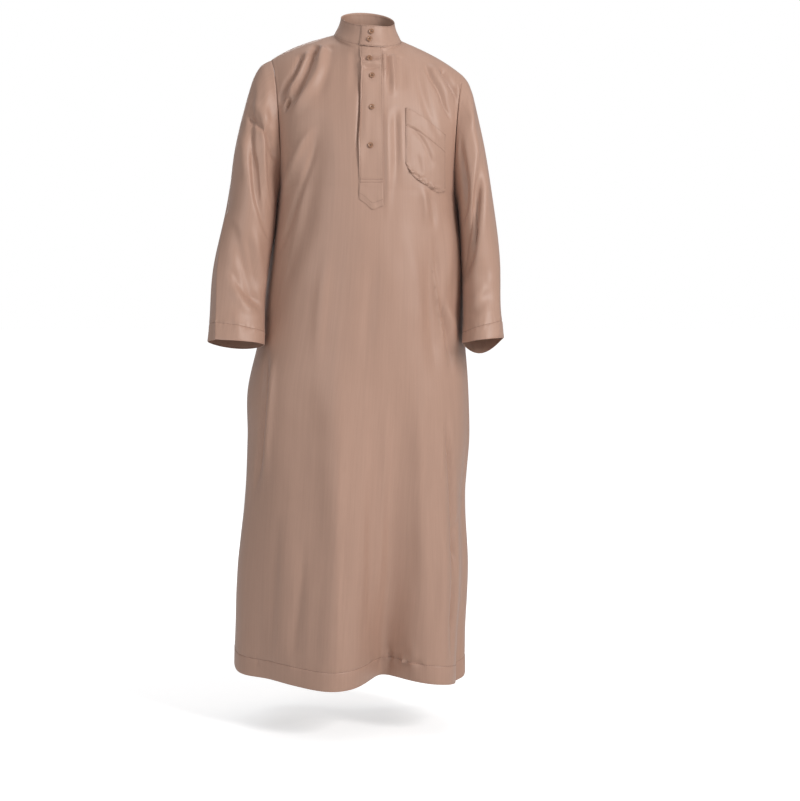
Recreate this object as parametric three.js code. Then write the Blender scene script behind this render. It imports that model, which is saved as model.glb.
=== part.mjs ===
// A worn ankle-length robe (thobe, a long kurta) with a stand collar, a buttoned placket, a chest
// pocket and long sleeves. It is hollow, as its wearer would fill it, and each cut piece is a thin wall.
//
// Millimetres, +Z up. The front faces -Y and the wearer's left is +X. The origin lies on the
// shoulders, midway between the two side-neck points, where the wearer carries the garment.
import * as THREE from "three";

// ---------------------------------------------------------------- driving sizes
const CLOTH = 1.5; // wall of the body panels and sleeves
const SEAM_GAP = 0.3; // between two pieces at a seam
const LENGTH = 1330; // shoulder to hem
const UNDERARM_Z = -320;
const NECK_HALF_WIDTH = 70;
const SHOULDER_HALF_WIDTH = 200;
const SHOULDER_TILT = 0.085; // the wearer's left shoulder is the lower one
const TILT_LOW_Z = -560; // no tilt from here down
const TILT_HIGH_Z = -150; // full tilt from here up
const SLIT_HEIGHT = 110; // side slits above the lowest hem
const COLLAR_CLOTH = 1.8;
const COLLAR_HEIGHT = 43; // at the front and back
const COLLAR_LEAN = 10; // the top edge stands this much inside the neckline
const COLLAR_SIDE_TIP = 5; // at the sides the band leans in this much more, and stands lower by it
const COLLAR_LAP = 2.6; // the buttoned end lies this far over the other end
const COLLAR_LAP_LIFT = 0.3; // rise of the lapped end for each millimetre it lies over
const PLACKET_CLOTH = 1.4;
const PLACKET_LIFT = 0.5; // clear of the front
const PLACKET_END_ROOM = 8; // between the lower edge's corners and the next row of points
const PLACKET_TOP_DROP = 4; // below the neckline, clear of the lapped collar
const BUTTON_RADIUS = 5.6;
const BUTTON_HEIGHT = 2.4;
const BUTTON_SIDES = 16;
const BUTTON_SHANK = 1.3; // thread shank between the cloth and the flat of a button
const SHANK_RADIUS = 1.8;

// ---------------------------------------------------------------- materials
const SATIN = new THREE.MeshStandardMaterial({ color: 0xb6917f, roughness: 0.55, metalness: 0 });
const SATIN_TRIM = new THREE.MeshStandardMaterial({ color: 0xb8947f, roughness: 0.55, metalness: 0 });
const BUTTON = new THREE.MeshStandardMaterial({ color: 0x9a7556, roughness: 0.35, metalness: 0 });

// ---------------------------------------------------------------- shape tables
// Level sections of the body, hem to underarm. right and left: x of the side seams. middle: x of the
// centre line. front, back and seam: y of the front centre, the back centre and the side seams.
const SECTIONS = [
  { z: -1330, right: -281, left: 204, middle: -38, front: -152, back: 168, seam: 20 },
  { z: -1240, right: -279, left: 206, middle: -35, front: -152, back: 165, seam: 20 },
  { z: -1100, right: -272, left: 212, middle: -28, front: -153, back: 160, seam: 20 },
  { z: -950, right: -257, left: 205, middle: -21, front: -154, back: 155, seam: 20 },
  { z: -830, right: -252, left: 214, middle: -15, front: -155, back: 150, seam: 20 },
  { z: -730, right: -251, left: 211, middle: -8, front: -155, back: 146, seam: 20 },
  { z: -620, right: -227, left: 204, middle: -2, front: -152, back: 139, seam: 28 },
  { z: -470, right: -202, left: 199, middle: 6, front: -146, back: 130, seam: 30 },
  { z: -320, right: -181, left: 181, middle: 9, front: -138, back: 126, seam: 2 },
  { z: -200, right: -181, left: 181, middle: 9, front: -128, back: 126, seam: 2 },
];
const SECTION_SQUARENESS = 0.04; // how far the section swells between its axes

// How far the hem stands above its lowest level, across a panel from seam to seam.
const FRONT_HEM = [
  { across: -1, rise: 24 },
  { across: -0.75, rise: 12 },
  { across: -0.45, rise: 8 },
  { across: -0.15, rise: 0 },
  { across: 0.02, rise: 2 },
  { across: 0.22, rise: 12 },
  { across: 0.45, rise: 4 },
  { across: 0.8, rise: -6 },
  { across: 1, rise: 8 },
];
const BACK_HEM = [
  { across: -1, rise: 24 },
  { across: -0.6, rise: 4 },
  { across: 0, rise: 6 },
  { across: 0.6, rise: 2 },
  { across: 1, rise: 12 },
];

// How a panel's uprights run from the underarm section up to the shoulder and neck, by place across:
// 0 is the centre line and 1 the armhole. outX, highY and highZ hold the cloth near the top, and inX,
// inY and inZ near the underarm. X leans away from the centre line, and inX to inZ are offsets.
const FRONT_DRAPE = [
  { across: 0, outX: 0, highY: -106, highZ: -102, inX: 0, inY: -1, inZ: 95 },
  { across: 0.12, outX: 3, highY: -98, highZ: -72, inX: 0, inY: -2, inZ: 98 },
  { across: 0.24, outX: 4, highY: -84, highZ: -44, inX: 0, inY: -3, inZ: 102 },
  { across: 0.45, outX: 0, highY: -74, highZ: -30, inX: 0, inY: -8, inZ: 108 },
  { across: 0.7, outX: -4, highY: -70, highZ: -46, inX: 0, inY: -22, inZ: 100 },
  { across: 0.88, outX: -10, highY: -68, highZ: -68, inX: -4, inY: -46, inZ: 60 },
  { across: 1, outX: -16, highY: -62, highZ: -88, inX: -8, inY: -62, inZ: 20 },
];
const BACK_DRAPE = [
  { across: 0, outX: 0, highY: 96, highZ: -34, inX: 0, inY: 10, inZ: 100 },
  { across: 0.12, outX: 2, highY: 94, highZ: -32, inX: 0, inY: 10, inZ: 100 },
  { across: 0.24, outX: 3, highY: 88, highZ: -28, inX: 0, inY: 10, inZ: 102 },
  { across: 0.45, outX: 0, highY: 82, highZ: -27, inX: 0, inY: 12, inZ: 108 },
  { across: 0.7, outX: -2, highY: 78, highZ: -45, inX: 0, inY: 24, inZ: 100 },
  { across: 0.88, outX: -6, highY: 76, highZ: -67, inX: -4, inY: 46, inZ: 60 },
  { across: 1, outX: -12, highY: 70, highZ: -88, inX: -8, inY: 60, inZ: 20 },
];

// Sleeve rings from the armhole (0) to the cuff (1). outer and inner: the ring's outer and inner
// points from the front. y: its middle. half: half its depth. lean: degrees its front is tipped up.
// drop: how far its back hangs below that.
const RIGHT_SLEEVE = [
  { along: 0, outerX: 200, outerZ: -69, innerX: 181, innerZ: -320, y: 3, half: 58, lean: 0, drop: 0 },
  { along: 0.05, outerX: 222, outerZ: -84, innerX: 184, innerZ: -334, y: 2, half: 64, lean: 0, drop: 0 },
  { along: 0.12, outerX: 241, outerZ: -122, innerX: 188, innerZ: -352, y: 1, half: 72, lean: 0, drop: 0 },
  { along: 0.3, outerX: 270, outerZ: -235, innerX: 191, innerZ: -405, y: -4, half: 76, lean: 0, drop: 0 },
  { along: 0.5, outerX: 290, outerZ: -362, innerX: 199, innerZ: -465, y: -16, half: 68, lean: 3, drop: 0 },
  { along: 0.7, outerX: 312, outerZ: -470, innerX: 207, innerZ: -530, y: -34, half: 58, lean: 6, drop: 1 },
  { along: 0.87, outerX: 320, outerZ: -560, innerX: 210, innerZ: -588, y: -60, half: 54, lean: 8, drop: 3 },
  { along: 1, outerX: 327, outerZ: -630, innerX: 211, innerZ: -636, y: -84, half: 54, lean: 8, drop: 5 },
];
const LEFT_SLEEVE = [
  { along: 0, outerX: 200, outerZ: -69, innerX: 181, innerZ: -320, y: 3, half: 58, lean: 0, drop: 0 },
  { along: 0.05, outerX: 211, outerZ: -87, innerX: 184, innerZ: -334, y: 2, half: 66, lean: 0, drop: 0 },
  { along: 0.12, outerX: 222, outerZ: -122, innerX: 188, innerZ: -352, y: 2, half: 76, lean: 0, drop: 0 },
  { along: 0.3, outerX: 245, outerZ: -230, innerX: 190, innerZ: -405, y: -4, half: 82, lean: 0, drop: 0 },
  { along: 0.5, outerX: 263, outerZ: -358, innerX: 192, innerZ: -465, y: -14, half: 78, lean: 3, drop: 1 },
  { along: 0.7, outerX: 274, outerZ: -468, innerX: 194, innerZ: -530, y: -28, half: 68, lean: 5, drop: 5 },
  { along: 0.87, outerX: 274, outerZ: -556, innerX: 195, innerZ: -590, y: -50, half: 62, lean: 4, drop: 15 },
  { along: 1, outerX: 279, outerZ: -622, innerX: 194, innerZ: -632, y: -72, half: 60, lean: 3, drop: 25 },
];

// Folds run down the cloth from (topG, topZ) to (lowG, lowZ), where G is the girth measured from the
// centre line. bow: sideways swing at mid-height. depth: out of the cloth, or into it when negative.
// open folds keep their depth down to the hem, and the others fade out at both ends.
const FRONT_FOLDS = [
  { topG: -22, topZ: -520, lowG: -20, lowZ: -1340, bow: 14, width: 50, depth: 40, open: true },
  { topG: 60, topZ: -560, lowG: 66, lowZ: -1340, bow: -6, width: 44, depth: -84, open: true },
  { topG: 140, topZ: -600, lowG: 150, lowZ: -1340, bow: 10, width: 50, depth: 26, open: true },
  { topG: -180, topZ: -640, lowG: -150, lowZ: -1340, bow: -12, width: 46, depth: -18, open: true },
  { topG: 255, topZ: -420, lowG: 236, lowZ: -1340, bow: 8, width: 34, depth: -16, open: true },
  { topG: -88, topZ: -30, lowG: -146, lowZ: -150, bow: 6, width: 13, depth: -11, open: false },
  { topG: -118, topZ: -46, lowG: -172, lowZ: -185, bow: 10, width: 13, depth: -11, open: false },
  { topG: -104, topZ: -40, lowG: -158, lowZ: -170, bow: 8, width: 10, depth: 7, open: false },
  { topG: -120, topZ: -170, lowG: -215, lowZ: -620, bow: 26, width: 30, depth: -10, open: false },
  { topG: 38, topZ: -34, lowG: 44, lowZ: -190, bow: 2, width: 9, depth: -5, open: false },
  { topG: 118, topZ: -50, lowG: 190, lowZ: -230, bow: -14, width: 16, depth: -7, open: false },
  { topG: 96, topZ: -330, lowG: 170, lowZ: -760, bow: -10, width: 26, depth: -7, open: false },
];
const BACK_FOLDS = [
  { topG: -20, topZ: -420, lowG: 10, lowZ: -1340, bow: 10, width: 46, depth: -34, open: true },
  { topG: -110, topZ: -380, lowG: -105, lowZ: -1340, bow: -8, width: 44, depth: 26, open: true },
  { topG: 95, topZ: -460, lowG: 120, lowZ: -1340, bow: 8, width: 48, depth: 30, open: true },
  { topG: -200, topZ: -560, lowG: -205, lowZ: -1340, bow: 8, width: 38, depth: -24, open: true },
  { topG: 205, topZ: -520, lowG: 212, lowZ: -1340, bow: -8, width: 40, depth: -22, open: true },
  { topG: -130, topZ: -90, lowG: -200, lowZ: -330, bow: 8, width: 22, depth: -6, open: false },
  { topG: 125, topZ: -80, lowG: 205, lowZ: -310, bow: -8, width: 22, depth: -7, open: false },
  { topG: 30, topZ: -120, lowG: 70, lowZ: -480, bow: 8, width: 30, depth: -6, open: false },
];
const QUARTER_GIRTH = 300; // girth from a centre line to a side seam
const OPEN_FOLD_GROWTH = 1.7; // power by which an open fold deepens on its way down
const CLOSED_FOLD_FADE = 0.8; // power by which the other folds fade at both ends

// Sleeve folds run along the sleeve from (fromTurn, fromAlong) to (toTurn, toAlong). A turn is 0 at
// the outer edge, 90 at the front, 180 at the inner edge and 270 at the back. width is in degrees.
const RIGHT_SLEEVE_FOLDS = [
  { fromTurn: 20, fromAlong: 0.1, toTurn: 138, toAlong: 0.42, width: 16, depth: -9 },
  { fromTurn: 48, fromAlong: 0.02, toTurn: 130, toAlong: 0.26, width: 14, depth: 6 },
  { fromTurn: 350, fromAlong: 0.42, toTurn: 352, toAlong: 0.99, width: 9, depth: 6 },
  { fromTurn: 60, fromAlong: 0.52, toTurn: 150, toAlong: 0.86, width: 20, depth: -9 },
  { fromTurn: 218, fromAlong: 0.06, toTurn: 205, toAlong: 0.92, width: 26, depth: -11 },
  { fromTurn: 300, fromAlong: 0.5, toTurn: 230, toAlong: 0.9, width: 20, depth: -8 },
];
const LEFT_SLEEVE_FOLDS = [
  { fromTurn: 95, fromAlong: 0.04, toTurn: 128, toAlong: 0.3, width: 13, depth: -10 },
  { fromTurn: 52, fromAlong: 0.22, toTurn: 150, toAlong: 0.66, width: 20, depth: -14 },
  { fromTurn: 40, fromAlong: 0.05, toTurn: 60, toAlong: 0.3, width: 16, depth: 5 },
  { fromTurn: 100, fromAlong: 0.62, toTurn: 60, toAlong: 0.88, width: 22, depth: -6 },
  { fromTurn: 218, fromAlong: 0.06, toTurn: 205, toAlong: 0.92, width: 26, depth: -11 },
  { fromTurn: 300, fromAlong: 0.5, toTurn: 230, toAlong: 0.9, width: 20, depth: -8 },
];

// Button centres: heights on the placket, and heights up the collar as a share of the band.
const PLACKET_BUTTONS = [
  { name: "button_1", z: -54 },
  { name: "button_2", z: -91 },
  { name: "button_3", z: -156 },
  { name: "button_4", z: -234 },
];
const COLLAR_BUTTONS = [
  { name: "collar_button_upper", rise: 0.7, x: 8 },
  { name: "collar_button_lower", rise: 0.32, x: 4 },
];

// The chest pocket's corners on the front, from the front: its wearer's-left side hangs lower.
const POCKET = {
  innerX: 77,
  outerX: 158,
  topZ: -151,
  bottomZ: -288,
  drop: 46, // the outer side lies this much below the inner side
  dropCurve: 1.3, // power by which it drops on its way across
  corner: 22, // the lower corners are cut off by this much
  cornerRise: 6, // power by which the cut dies out on the way up
  cornerReach: 4, // power by which it dies out on the way in
  cloth: 1.2,
  lift: 1.3, // clear of the front
};

// ---------------------------------------------------------------- small tools
const FRONT = -1;
const BACK = 1;
const point = (x, y, z) => new THREE.Vector3(x, y, z);
const radians = THREE.MathUtils.degToRad;
const smooth = (from, to, x) => {
  const t = THREE.MathUtils.clamp((x - from) / (to - from), 0, 1);
  return t * t * (3 - 2 * t);
};
const range = (count) => Array.from({ length: count }, (_, i) => i);
const steps = (from, to, count) => range(count + 1).map((i) => from + ((to - from) * i) / count);

// Every column of a table at one value of its key, on a smooth curve through the rows.
function readTable(rows, key, at) {
  const last = rows.length - 1;
  const next = THREE.MathUtils.clamp(rows.findIndex((row) => row[key] > at), 1, last);
  const i = rows[last][key] <= at ? last : next;
  const [a, b] = [rows[i - 1], rows[i]];
  const [before, after] = [rows[Math.max(i - 2, 0)], rows[Math.min(i + 1, last)]];
  const span = b[key] - a[key];
  const t = THREE.MathUtils.clamp((at - a[key]) / span, 0, 1);
  const read = {};
  for (const name of Object.keys(a)) {
    const slopeA = ((b[name] - before[name]) / (b[key] - before[key] || span)) * span;
    const slopeB = ((after[name] - a[name]) / (after[key] - a[key] || span)) * span;
    read[name] =
      a[name] * (2 * t ** 3 - 3 * t ** 2 + 1) +
      slopeA * (t ** 3 - 2 * t ** 2 + t) +
      b[name] * (3 * t ** 2 - 2 * t ** 3) +
      slopeB * (t ** 3 - t ** 2);
  }
  return read;
}

// The outward unit normals of a grid of points. turned is -1 where rows and columns run left-handed.
function gridNormals(grid, turned, wraps) {
  const lastRow = grid.length - 1;
  const columns = grid[0].length;
  return grid.map((row, r) =>
    row.map((_, c) => {
      const low = grid[Math.max(r - 1, 0)][c];
      const high = grid[Math.min(r + 1, lastRow)][c];
      const left = row[wraps ? (c + columns - 1) % columns : Math.max(c - 1, 0)];
      const right = row[wraps ? (c + 1) % columns : Math.min(c + 1, columns - 1)];
      const across = right.clone().sub(left);
      return across.cross(high.clone().sub(low)).normalize().multiplyScalar(turned);
    }),
  );
}

const shifted = (grid, normals, distance) =>
  grid.map((row, r) => row.map((p, c) => p.clone().addScaledVector(normals[r][c], distance)));

// A closed solid between an outer and an inner grid of points. A wrapped grid closes on itself
// across its columns, as a sleeve does.
function wallSolid(outer, inner, wraps = false) {
  const rows = outer.length;
  const columns = outer[0].length;
  const end = columns - 1;
  const spans = wraps ? columns : end;
  const points = [...outer.flat(), ...inner.flat()];
  const at = (layer, r, c) => layer * rows * columns + r * columns + (c % columns);
  const faces = [];
  const quad = (a, b, c, d) => faces.push(a, b, c, a, c, d);
  for (let r = 0; r < rows - 1; r++)
    for (let c = 0; c < spans; c++) {
      quad(at(0, r, c), at(0, r, c + 1), at(0, r + 1, c + 1), at(0, r + 1, c));
      quad(at(1, r, c), at(1, r + 1, c), at(1, r + 1, c + 1), at(1, r, c + 1));
    }
  for (let c = 0; c < spans; c++) {
    quad(at(1, 0, c), at(1, 0, c + 1), at(0, 0, c + 1), at(0, 0, c));
    quad(at(0, rows - 1, c), at(0, rows - 1, c + 1), at(1, rows - 1, c + 1), at(1, rows - 1, c));
  }
  if (!wraps)
    for (let r = 0; r < rows - 1; r++) {
      quad(at(0, r, 0), at(0, r + 1, 0), at(1, r + 1, 0), at(1, r, 0));
      quad(at(1, r, end), at(1, r + 1, end), at(0, r + 1, end), at(0, r, end));
    }
  return outwardGeometry(points, faces);
}

// A geometry from points and triangles, turned round as a whole if its volume is negative.
function outwardGeometry(points, faces) {
  let volume = 0;
  for (let i = 0; i < faces.length; i += 3) {
    const [a, b, c] = [points[faces[i]], points[faces[i + 1]], points[faces[i + 2]]];
    volume += a.dot(b.clone().cross(c));
  }
  if (volume < 0) faces.reverse();
  const geometry = new THREE.BufferGeometry().setFromPoints(points);
  geometry.setIndex(faces);
  geometry.computeVertexNormals();
  return geometry;
}

// ---------------------------------------------------------------- the wearer's stance
// The shoulders tilt, and the tilt fades out by the hips.
function stance(p) {
  const share = smooth(TILT_LOW_Z, TILT_HIGH_Z, p.z);
  return point(p.x, p.y, p.z - SHOULDER_TILT * p.x * share);
}

// ---------------------------------------------------------------- body panels
const NECK_ACROSS = 0.24; // where the side-neck point lies across a panel
const NECK_SPREAD = 1.45; // keeps the uprights under the neck as far apart as they are below
const NECK_SIDE = { y: 2, z: -3 };
const NECK_CENTRE = { [FRONT]: { x: 6, y: -75, z: -30 }, [BACK]: { x: 2, y: 58, z: 12 } };
const SHOULDER_SLOPE = 0.34;
const SHOULDER_FALL = 18; // the shoulder rounds down by this much more at its tip
const DEPTH_COLUMN = { [FRONT]: "front", [BACK]: "back" };
const HEM_TABLE = { [FRONT]: FRONT_HEM, [BACK]: BACK_HEM };

// A point of the neckline: reach is -1 to 1 from side to side, and fall is 1 at the centre line.
function necklinePoint(face, reach, fall) {
  const centre = NECK_CENTRE[face];
  return point(
    centre.x * fall + NECK_HALF_WIDTH * reach,
    NECK_SIDE.y + (centre.y - NECK_SIDE.y) * fall,
    NECK_SIDE.z + (centre.z - NECK_SIDE.z) * fall,
  );
}

// The upper edge of a panel, from shoulder tip to neck point, round the neck, and out again.
function upperEdge(face, across) {
  const side = Math.sign(across);
  const share = Math.abs(across);
  if (share <= NECK_ACROSS) {
    const angle = (share / NECK_ACROSS) ** NECK_SPREAD * (Math.PI / 2);
    return necklinePoint(face, side * Math.sin(angle), Math.cos(angle));
  }
  const out = (share - NECK_ACROSS) / (1 - NECK_ACROSS);
  const run = (SHOULDER_HALF_WIDTH - NECK_HALF_WIDTH) * out;
  const z = NECK_SIDE.z - SHOULDER_SLOPE * run - SHOULDER_FALL * out ** 3;
  return point(side * (NECK_HALF_WIDTH + run), NECK_SIDE.y + 2 * out, z);
}

// The upper edge without its corners at the neck, for the cloth that hangs from it.
const CORNER_SPREAD = 0.1; // across a panel
const CORNER_SHARES = [-1, -0.5, 0, 0.5, 1];
function softUpperEdge(face, across) {
  const side = Math.sign(across);
  const share = Math.abs(across);
  const spread = CORNER_SPREAD * smooth(0, NECK_ACROSS, share) * smooth(1, 1 - NECK_ACROSS, share);
  const mean = point(0, 0, 0);
  for (const offset of CORNER_SHARES) mean.add(upperEdge(face, side * (share + offset * spread)));
  return mean.divideScalar(CORNER_SHARES.length);
}

// A level section of the body at height z.
function sectionPoint(face, across, z) {
  const section = readTable(SECTIONS, "z", z);
  const angle = (Math.abs(across) * Math.PI) / 2;
  const swell = 1 + SECTION_SQUARENESS * Math.sin(2 * angle) ** 2;
  const seamX = across < 0 ? section.right : section.left;
  const depth = section[DEPTH_COLUMN[face]] - section.seam;
  return point(
    section.middle + (seamX - section.middle) * Math.sin(angle) * swell,
    section.seam + depth * Math.cos(angle) * swell,
    z,
  );
}

const hemHeight = (face, across) => -LENGTH + readTable(HEM_TABLE[face], "across", across).rise;

// A panel's smooth form. up runs from the hem (0) past the underarm (1) to the upper edge (2).
const CORNER_FROM = 1.75; // the corners at the neck show from here up
function panelForm(face, across, up) {
  if (up <= 1) {
    const hem = hemHeight(face, across);
    return sectionPoint(face, across, hem + (UNDERARM_Z - hem) * up);
  }
  const edge = upperEdge(face, across);
  const top = softUpperEdge(face, across).lerp(edge, smooth(CORNER_FROM, 2, up));
  const low = sectionPoint(face, across, UNDERARM_Z);
  const drape = readTable(face === FRONT ? FRONT_DRAPE : BACK_DRAPE, "across", Math.abs(across));
  const side = Math.sign(across);
  const rise = new THREE.CubicBezierCurve3(
    low,
    point(low.x + side * drape.inX, low.y + drape.inY, low.z + drape.inZ),
    point(top.x + side * drape.outX, drape.highY, drape.highZ),
    top,
  );
  return rise.getPoint(up - 1);
}

// How far the folds move the cloth out at a place on a panel.
function foldHeight(folds, across, z) {
  const girth = across * QUARTER_GIRTH;
  let height = 0;
  for (const fold of folds) {
    const share = (fold.topZ - z) / (fold.topZ - fold.lowZ);
    if (share <= 0 || share >= 1) continue;
    const middle = fold.topG + (fold.lowG - fold.topG) * share + fold.bow * Math.sin(Math.PI * share);
    const shape = Math.exp(-(((girth - middle) / fold.width) ** 2));
    const fade = fold.open ? share ** OPEN_FOLD_GROWTH : Math.sin(Math.PI * share) ** CLOSED_FOLD_FADE;
    height += fold.depth * shape * fade;
  }
  return height;
}

// Folds die away towards the seams, so that neighbouring pieces still meet there.
const FADE_ACROSS = 0.86;
const FADE_UP = 1.9;
function seamFade(across, up) {
  const side = 1 - smooth(FADE_ACROSS, 1, Math.abs(across));
  const top = 1 - smooth(FADE_UP, 2, up);
  return side * top;
}

const ROWS_BELOW = 24;
const ROWS_ABOVE = 10;
const PLACKET_ACROSS = 0.085; // the placket's edges fall on uprights of the front panel
const PLACKET_STEPS = 4;
const NECK_STEPS = 4;
const SHOULDER_STEPS = 9;
const UP = [...steps(0, 1, ROWS_BELOW), ...steps(1, 2, ROWS_ABOVE).slice(1)];
const ACROSS = [
  ...steps(-1, -NECK_ACROSS, SHOULDER_STEPS),
  ...steps(-NECK_ACROSS, -PLACKET_ACROSS, NECK_STEPS).slice(1, -1),
  ...steps(-PLACKET_ACROSS, PLACKET_ACROSS, PLACKET_STEPS),
  ...steps(PLACKET_ACROSS, NECK_ACROSS, NECK_STEPS).slice(1, -1),
  ...steps(NECK_ACROSS, 1, SHOULDER_STEPS),
];

// The points and outward normals of a panel's outer face, with its folds, before the stance.
function panelGrid(face) {
  const folds = face === FRONT ? FRONT_FOLDS : BACK_FOLDS;
  const form = UP.map((up) => ACROSS.map((across) => panelForm(face, across, up)));
  const facing = gridNormals(form, -face, false);
  const folded = form.map((row, r) =>
    row.map((p, c) => {
      const height = foldHeight(folds, ACROSS[c], p.z) * seamFade(ACROSS[c], UP[r]);
      return p.clone().addScaledVector(facing[r][c], height);
    }),
  );
  const armhole = { 0: [], [ACROSS.length - 1]: [] };
  return { points: folded, normals: gridNormals(folded, -face, false), armhole };
}

const front = panelGrid(FRONT);
const back = panelGrid(BACK);

// Where front and back meet they share one normal, so that their edges stand face to face.
function shareNormals(rows, columns) {
  for (const r of rows)
    for (const c of columns) {
      const shared = front.normals[r][c].clone().add(back.normals[r][c]).normalize();
      front.normals[r][c].copy(shared);
      back.normals[r][c].copy(shared);
    }
}
const LAST_ROW = UP.length - 1;
const LAST_COLUMN = ACROSS.length - 1;
const SIDE_COLUMNS = [0, LAST_COLUMN];
const SHOULDER_COLUMNS = range(ACROSS.length).filter((c) => Math.abs(ACROSS[c]) >= NECK_ACROSS - 1e-9);
shareNormals(range(ROWS_BELOW + 1), SIDE_COLUMNS);
shareNormals([LAST_ROW], SHOULDER_COLUMNS);

// How far the cloth by a side slit stands back from the seam's line.
const SLIT_OPENING = { right: 9, left: 30 }; // at the hem, on the front panel
const BACK_SLIT_OPENING = 2;
const SLIT_SPREAD = 0.6; // the cloth gives way as far in as this place across
function slitSetback(face, across, z) {
  const opening = across < 0 ? SLIT_OPENING.right : SLIT_OPENING.left;
  const down = smooth(-LENGTH + SLIT_HEIGHT, -LENGTH, z) * smooth(SLIT_SPREAD, 1, Math.abs(across));
  return (face === FRONT ? opening : BACK_SLIT_OPENING) * down;
}

// ---------------------------------------------------------------- sleeves
// The armhole as a loop of panel points, down the front edge and up the back edge.
function armholeLoop(column) {
  const rows = steps(ROWS_BELOW, LAST_ROW, ROWS_ABOVE);
  const downFront = rows.slice().reverse().map((row) => ({ panel: front, row, column }));
  const upBack = rows.slice(1, -1).map((row) => ({ panel: back, row, column }));
  return [...downFront, ...upBack];
}

// One ring of a sleeve: an ellipse between its outer and inner points, tipped up at the front.
function sleeveRing(table, side, along, turn) {
  const ring = readTable(table, "along", along);
  const middle = point((ring.outerX + ring.innerX) / 2, ring.y, (ring.outerZ + ring.innerZ) / 2);
  const outward = point(ring.outerX, ring.y, ring.outerZ).sub(middle);
  const lean = radians(ring.lean);
  const forward = point(0, -Math.cos(lean), Math.sin(lean)).multiplyScalar(ring.half);
  const p = middle.addScaledVector(outward, Math.cos(turn)).addScaledVector(forward, Math.sin(turn));
  const atBack = Math.max(0, -Math.sin(turn));
  return point(side * p.x, p.y, p.z - ring.drop * atBack ** 2);
}

function sleeveFoldHeight(folds, turn, along) {
  const degrees = THREE.MathUtils.radToDeg(turn);
  let height = 0;
  for (const fold of folds) {
    const share = (along - fold.fromAlong) / (fold.toAlong - fold.fromAlong);
    if (share <= 0 || share >= 1) continue;
    const middle = fold.fromTurn + (fold.toTurn - fold.fromTurn) * share;
    const away = THREE.MathUtils.euclideanModulo(degrees - middle + 180, 360) - 180;
    height += fold.depth * Math.exp(-((away / fold.width) ** 2)) * Math.sin(Math.PI * share);
  }
  return height;
}

const SLEEVE_ROWS = 20;
const SEAM_REACH = 0.3; // the armhole's own shape is lost by this share of the sleeve
const SEAM_ROUNDING = 0.3; // turns the seam's normals away from the middle of the armhole
const SEAM_SPLAY = 1.2;

// The direction of a wall at a seam: the shared one, turned towards the piece's own normal where the
// two pieces face each other, as they do under the arm.
function splayed(shared, own, acrossSeam) {
  const facing = Math.max(0, own.dot(acrossSeam));
  return shared.clone().addScaledVector(own, SEAM_SPLAY * facing).normalize();
}

// A sleeve's outer points and normals. Its first ring and the panel's armhole share their normals,
// and stand apart by the seam gap.
function sleeveGrid(side, table, folds) {
  const loop = armholeLoop(side < 0 ? 0 : LAST_COLUMN);
  const hole = loop.map(({ panel, row, column }) => panel.points[row][column].clone());
  const turns = range(hole.length).map((i) => (2 * Math.PI * i) / hole.length);
  const grid = steps(0, 1, SLEEVE_ROWS).map((along) =>
    turns.map((turn, c) => {
      const start = hole[c].clone().sub(sleeveRing(table, side, 0, turn));
      const share = 1 - smooth(0, SEAM_REACH, along);
      return sleeveRing(table, side, along, turn).addScaledVector(start, share);
    }),
  );
  const facing = gridNormals(grid, side, true);
  const outer = grid.map((row, r) =>
    row.map((p, c) =>
      p.clone().addScaledVector(facing[r][c], sleeveFoldHeight(folds, turns[c], r / SLEEVE_ROWS)),
    ),
  );
  const normals = gridNormals(outer, side, true);
  const centre = hole.reduce((sum, p) => sum.add(p), point(0, 0, 0)).divideScalar(hole.length);
  loop.forEach(({ panel, row, column }, c) => {
    const away = hole[c].clone().sub(centre).normalize().multiplyScalar(SEAM_ROUNDING);
    const shared = panel.normals[row][column].clone().add(normals[0][c]).add(away).normalize();
    const before = hole[(c + hole.length - 1) % hole.length];
    const along = hole[(c + 1) % hole.length].clone().sub(before);
    const toSleeve = shared.clone().cross(along).setLength(side);
    const toBody = toSleeve.clone().negate();
    const isTipOrUnderarm = row === LAST_ROW || row === ROWS_BELOW;
    for (const piece of isTipOrUnderarm ? [front, back] : [panel]) {
      const normal = splayed(shared, piece.normals[row][column], toSleeve);
      piece.armhole[column].push({ row, normal, apart: toBody.clone().multiplyScalar(SEAM_GAP / 2) });
    }
    normals[0][c].copy(splayed(shared, normals[0][c], toBody));
    outer[0][c].addScaledVector(toSleeve, SEAM_GAP / 2);
  });
  return { points: outer, normals };
}

const sleeves = {
  right: sleeveGrid(-1, RIGHT_SLEEVE, RIGHT_SLEEVE_FOLDS),
  left: sleeveGrid(1, LEFT_SLEEVE, LEFT_SLEEVE_FOLDS),
};

function sleeveSolid({ points, normals }) {
  const inner = shifted(points, normals, -CLOTH);
  return wallSolid(
    points.map((row) => row.map(stance)),
    inner.map((row) => row.map(stance)),
    true,
  );
}

function panelSolid(face) {
  const { points, normals, armhole } = face === FRONT ? front : back;
  const outer = points.map((row) => row.map((p) => p.clone()));
  outer.forEach((row, r) => {
    for (const c of SIDE_COLUMNS) if (r <= ROWS_BELOW) row[c].y += (face * SEAM_GAP) / 2;
    row.forEach((p, c) => (p.y += face * slitSetback(face, ACROSS[c], p.z)));
  });
  for (const p of outer[LAST_ROW]) p.y += (face * SEAM_GAP) / 2;
  for (const c of SIDE_COLUMNS)
    for (const { row, normal, apart } of armhole[c]) {
      outer[row][c].add(apart);
      normals[row][c].copy(normal);
    }
  const inner = shifted(outer, normals, -CLOTH);
  return wallSolid(
    outer.map((row) => row.map(stance)),
    inner.map((row) => row.map(stance)),
  );
}

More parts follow.
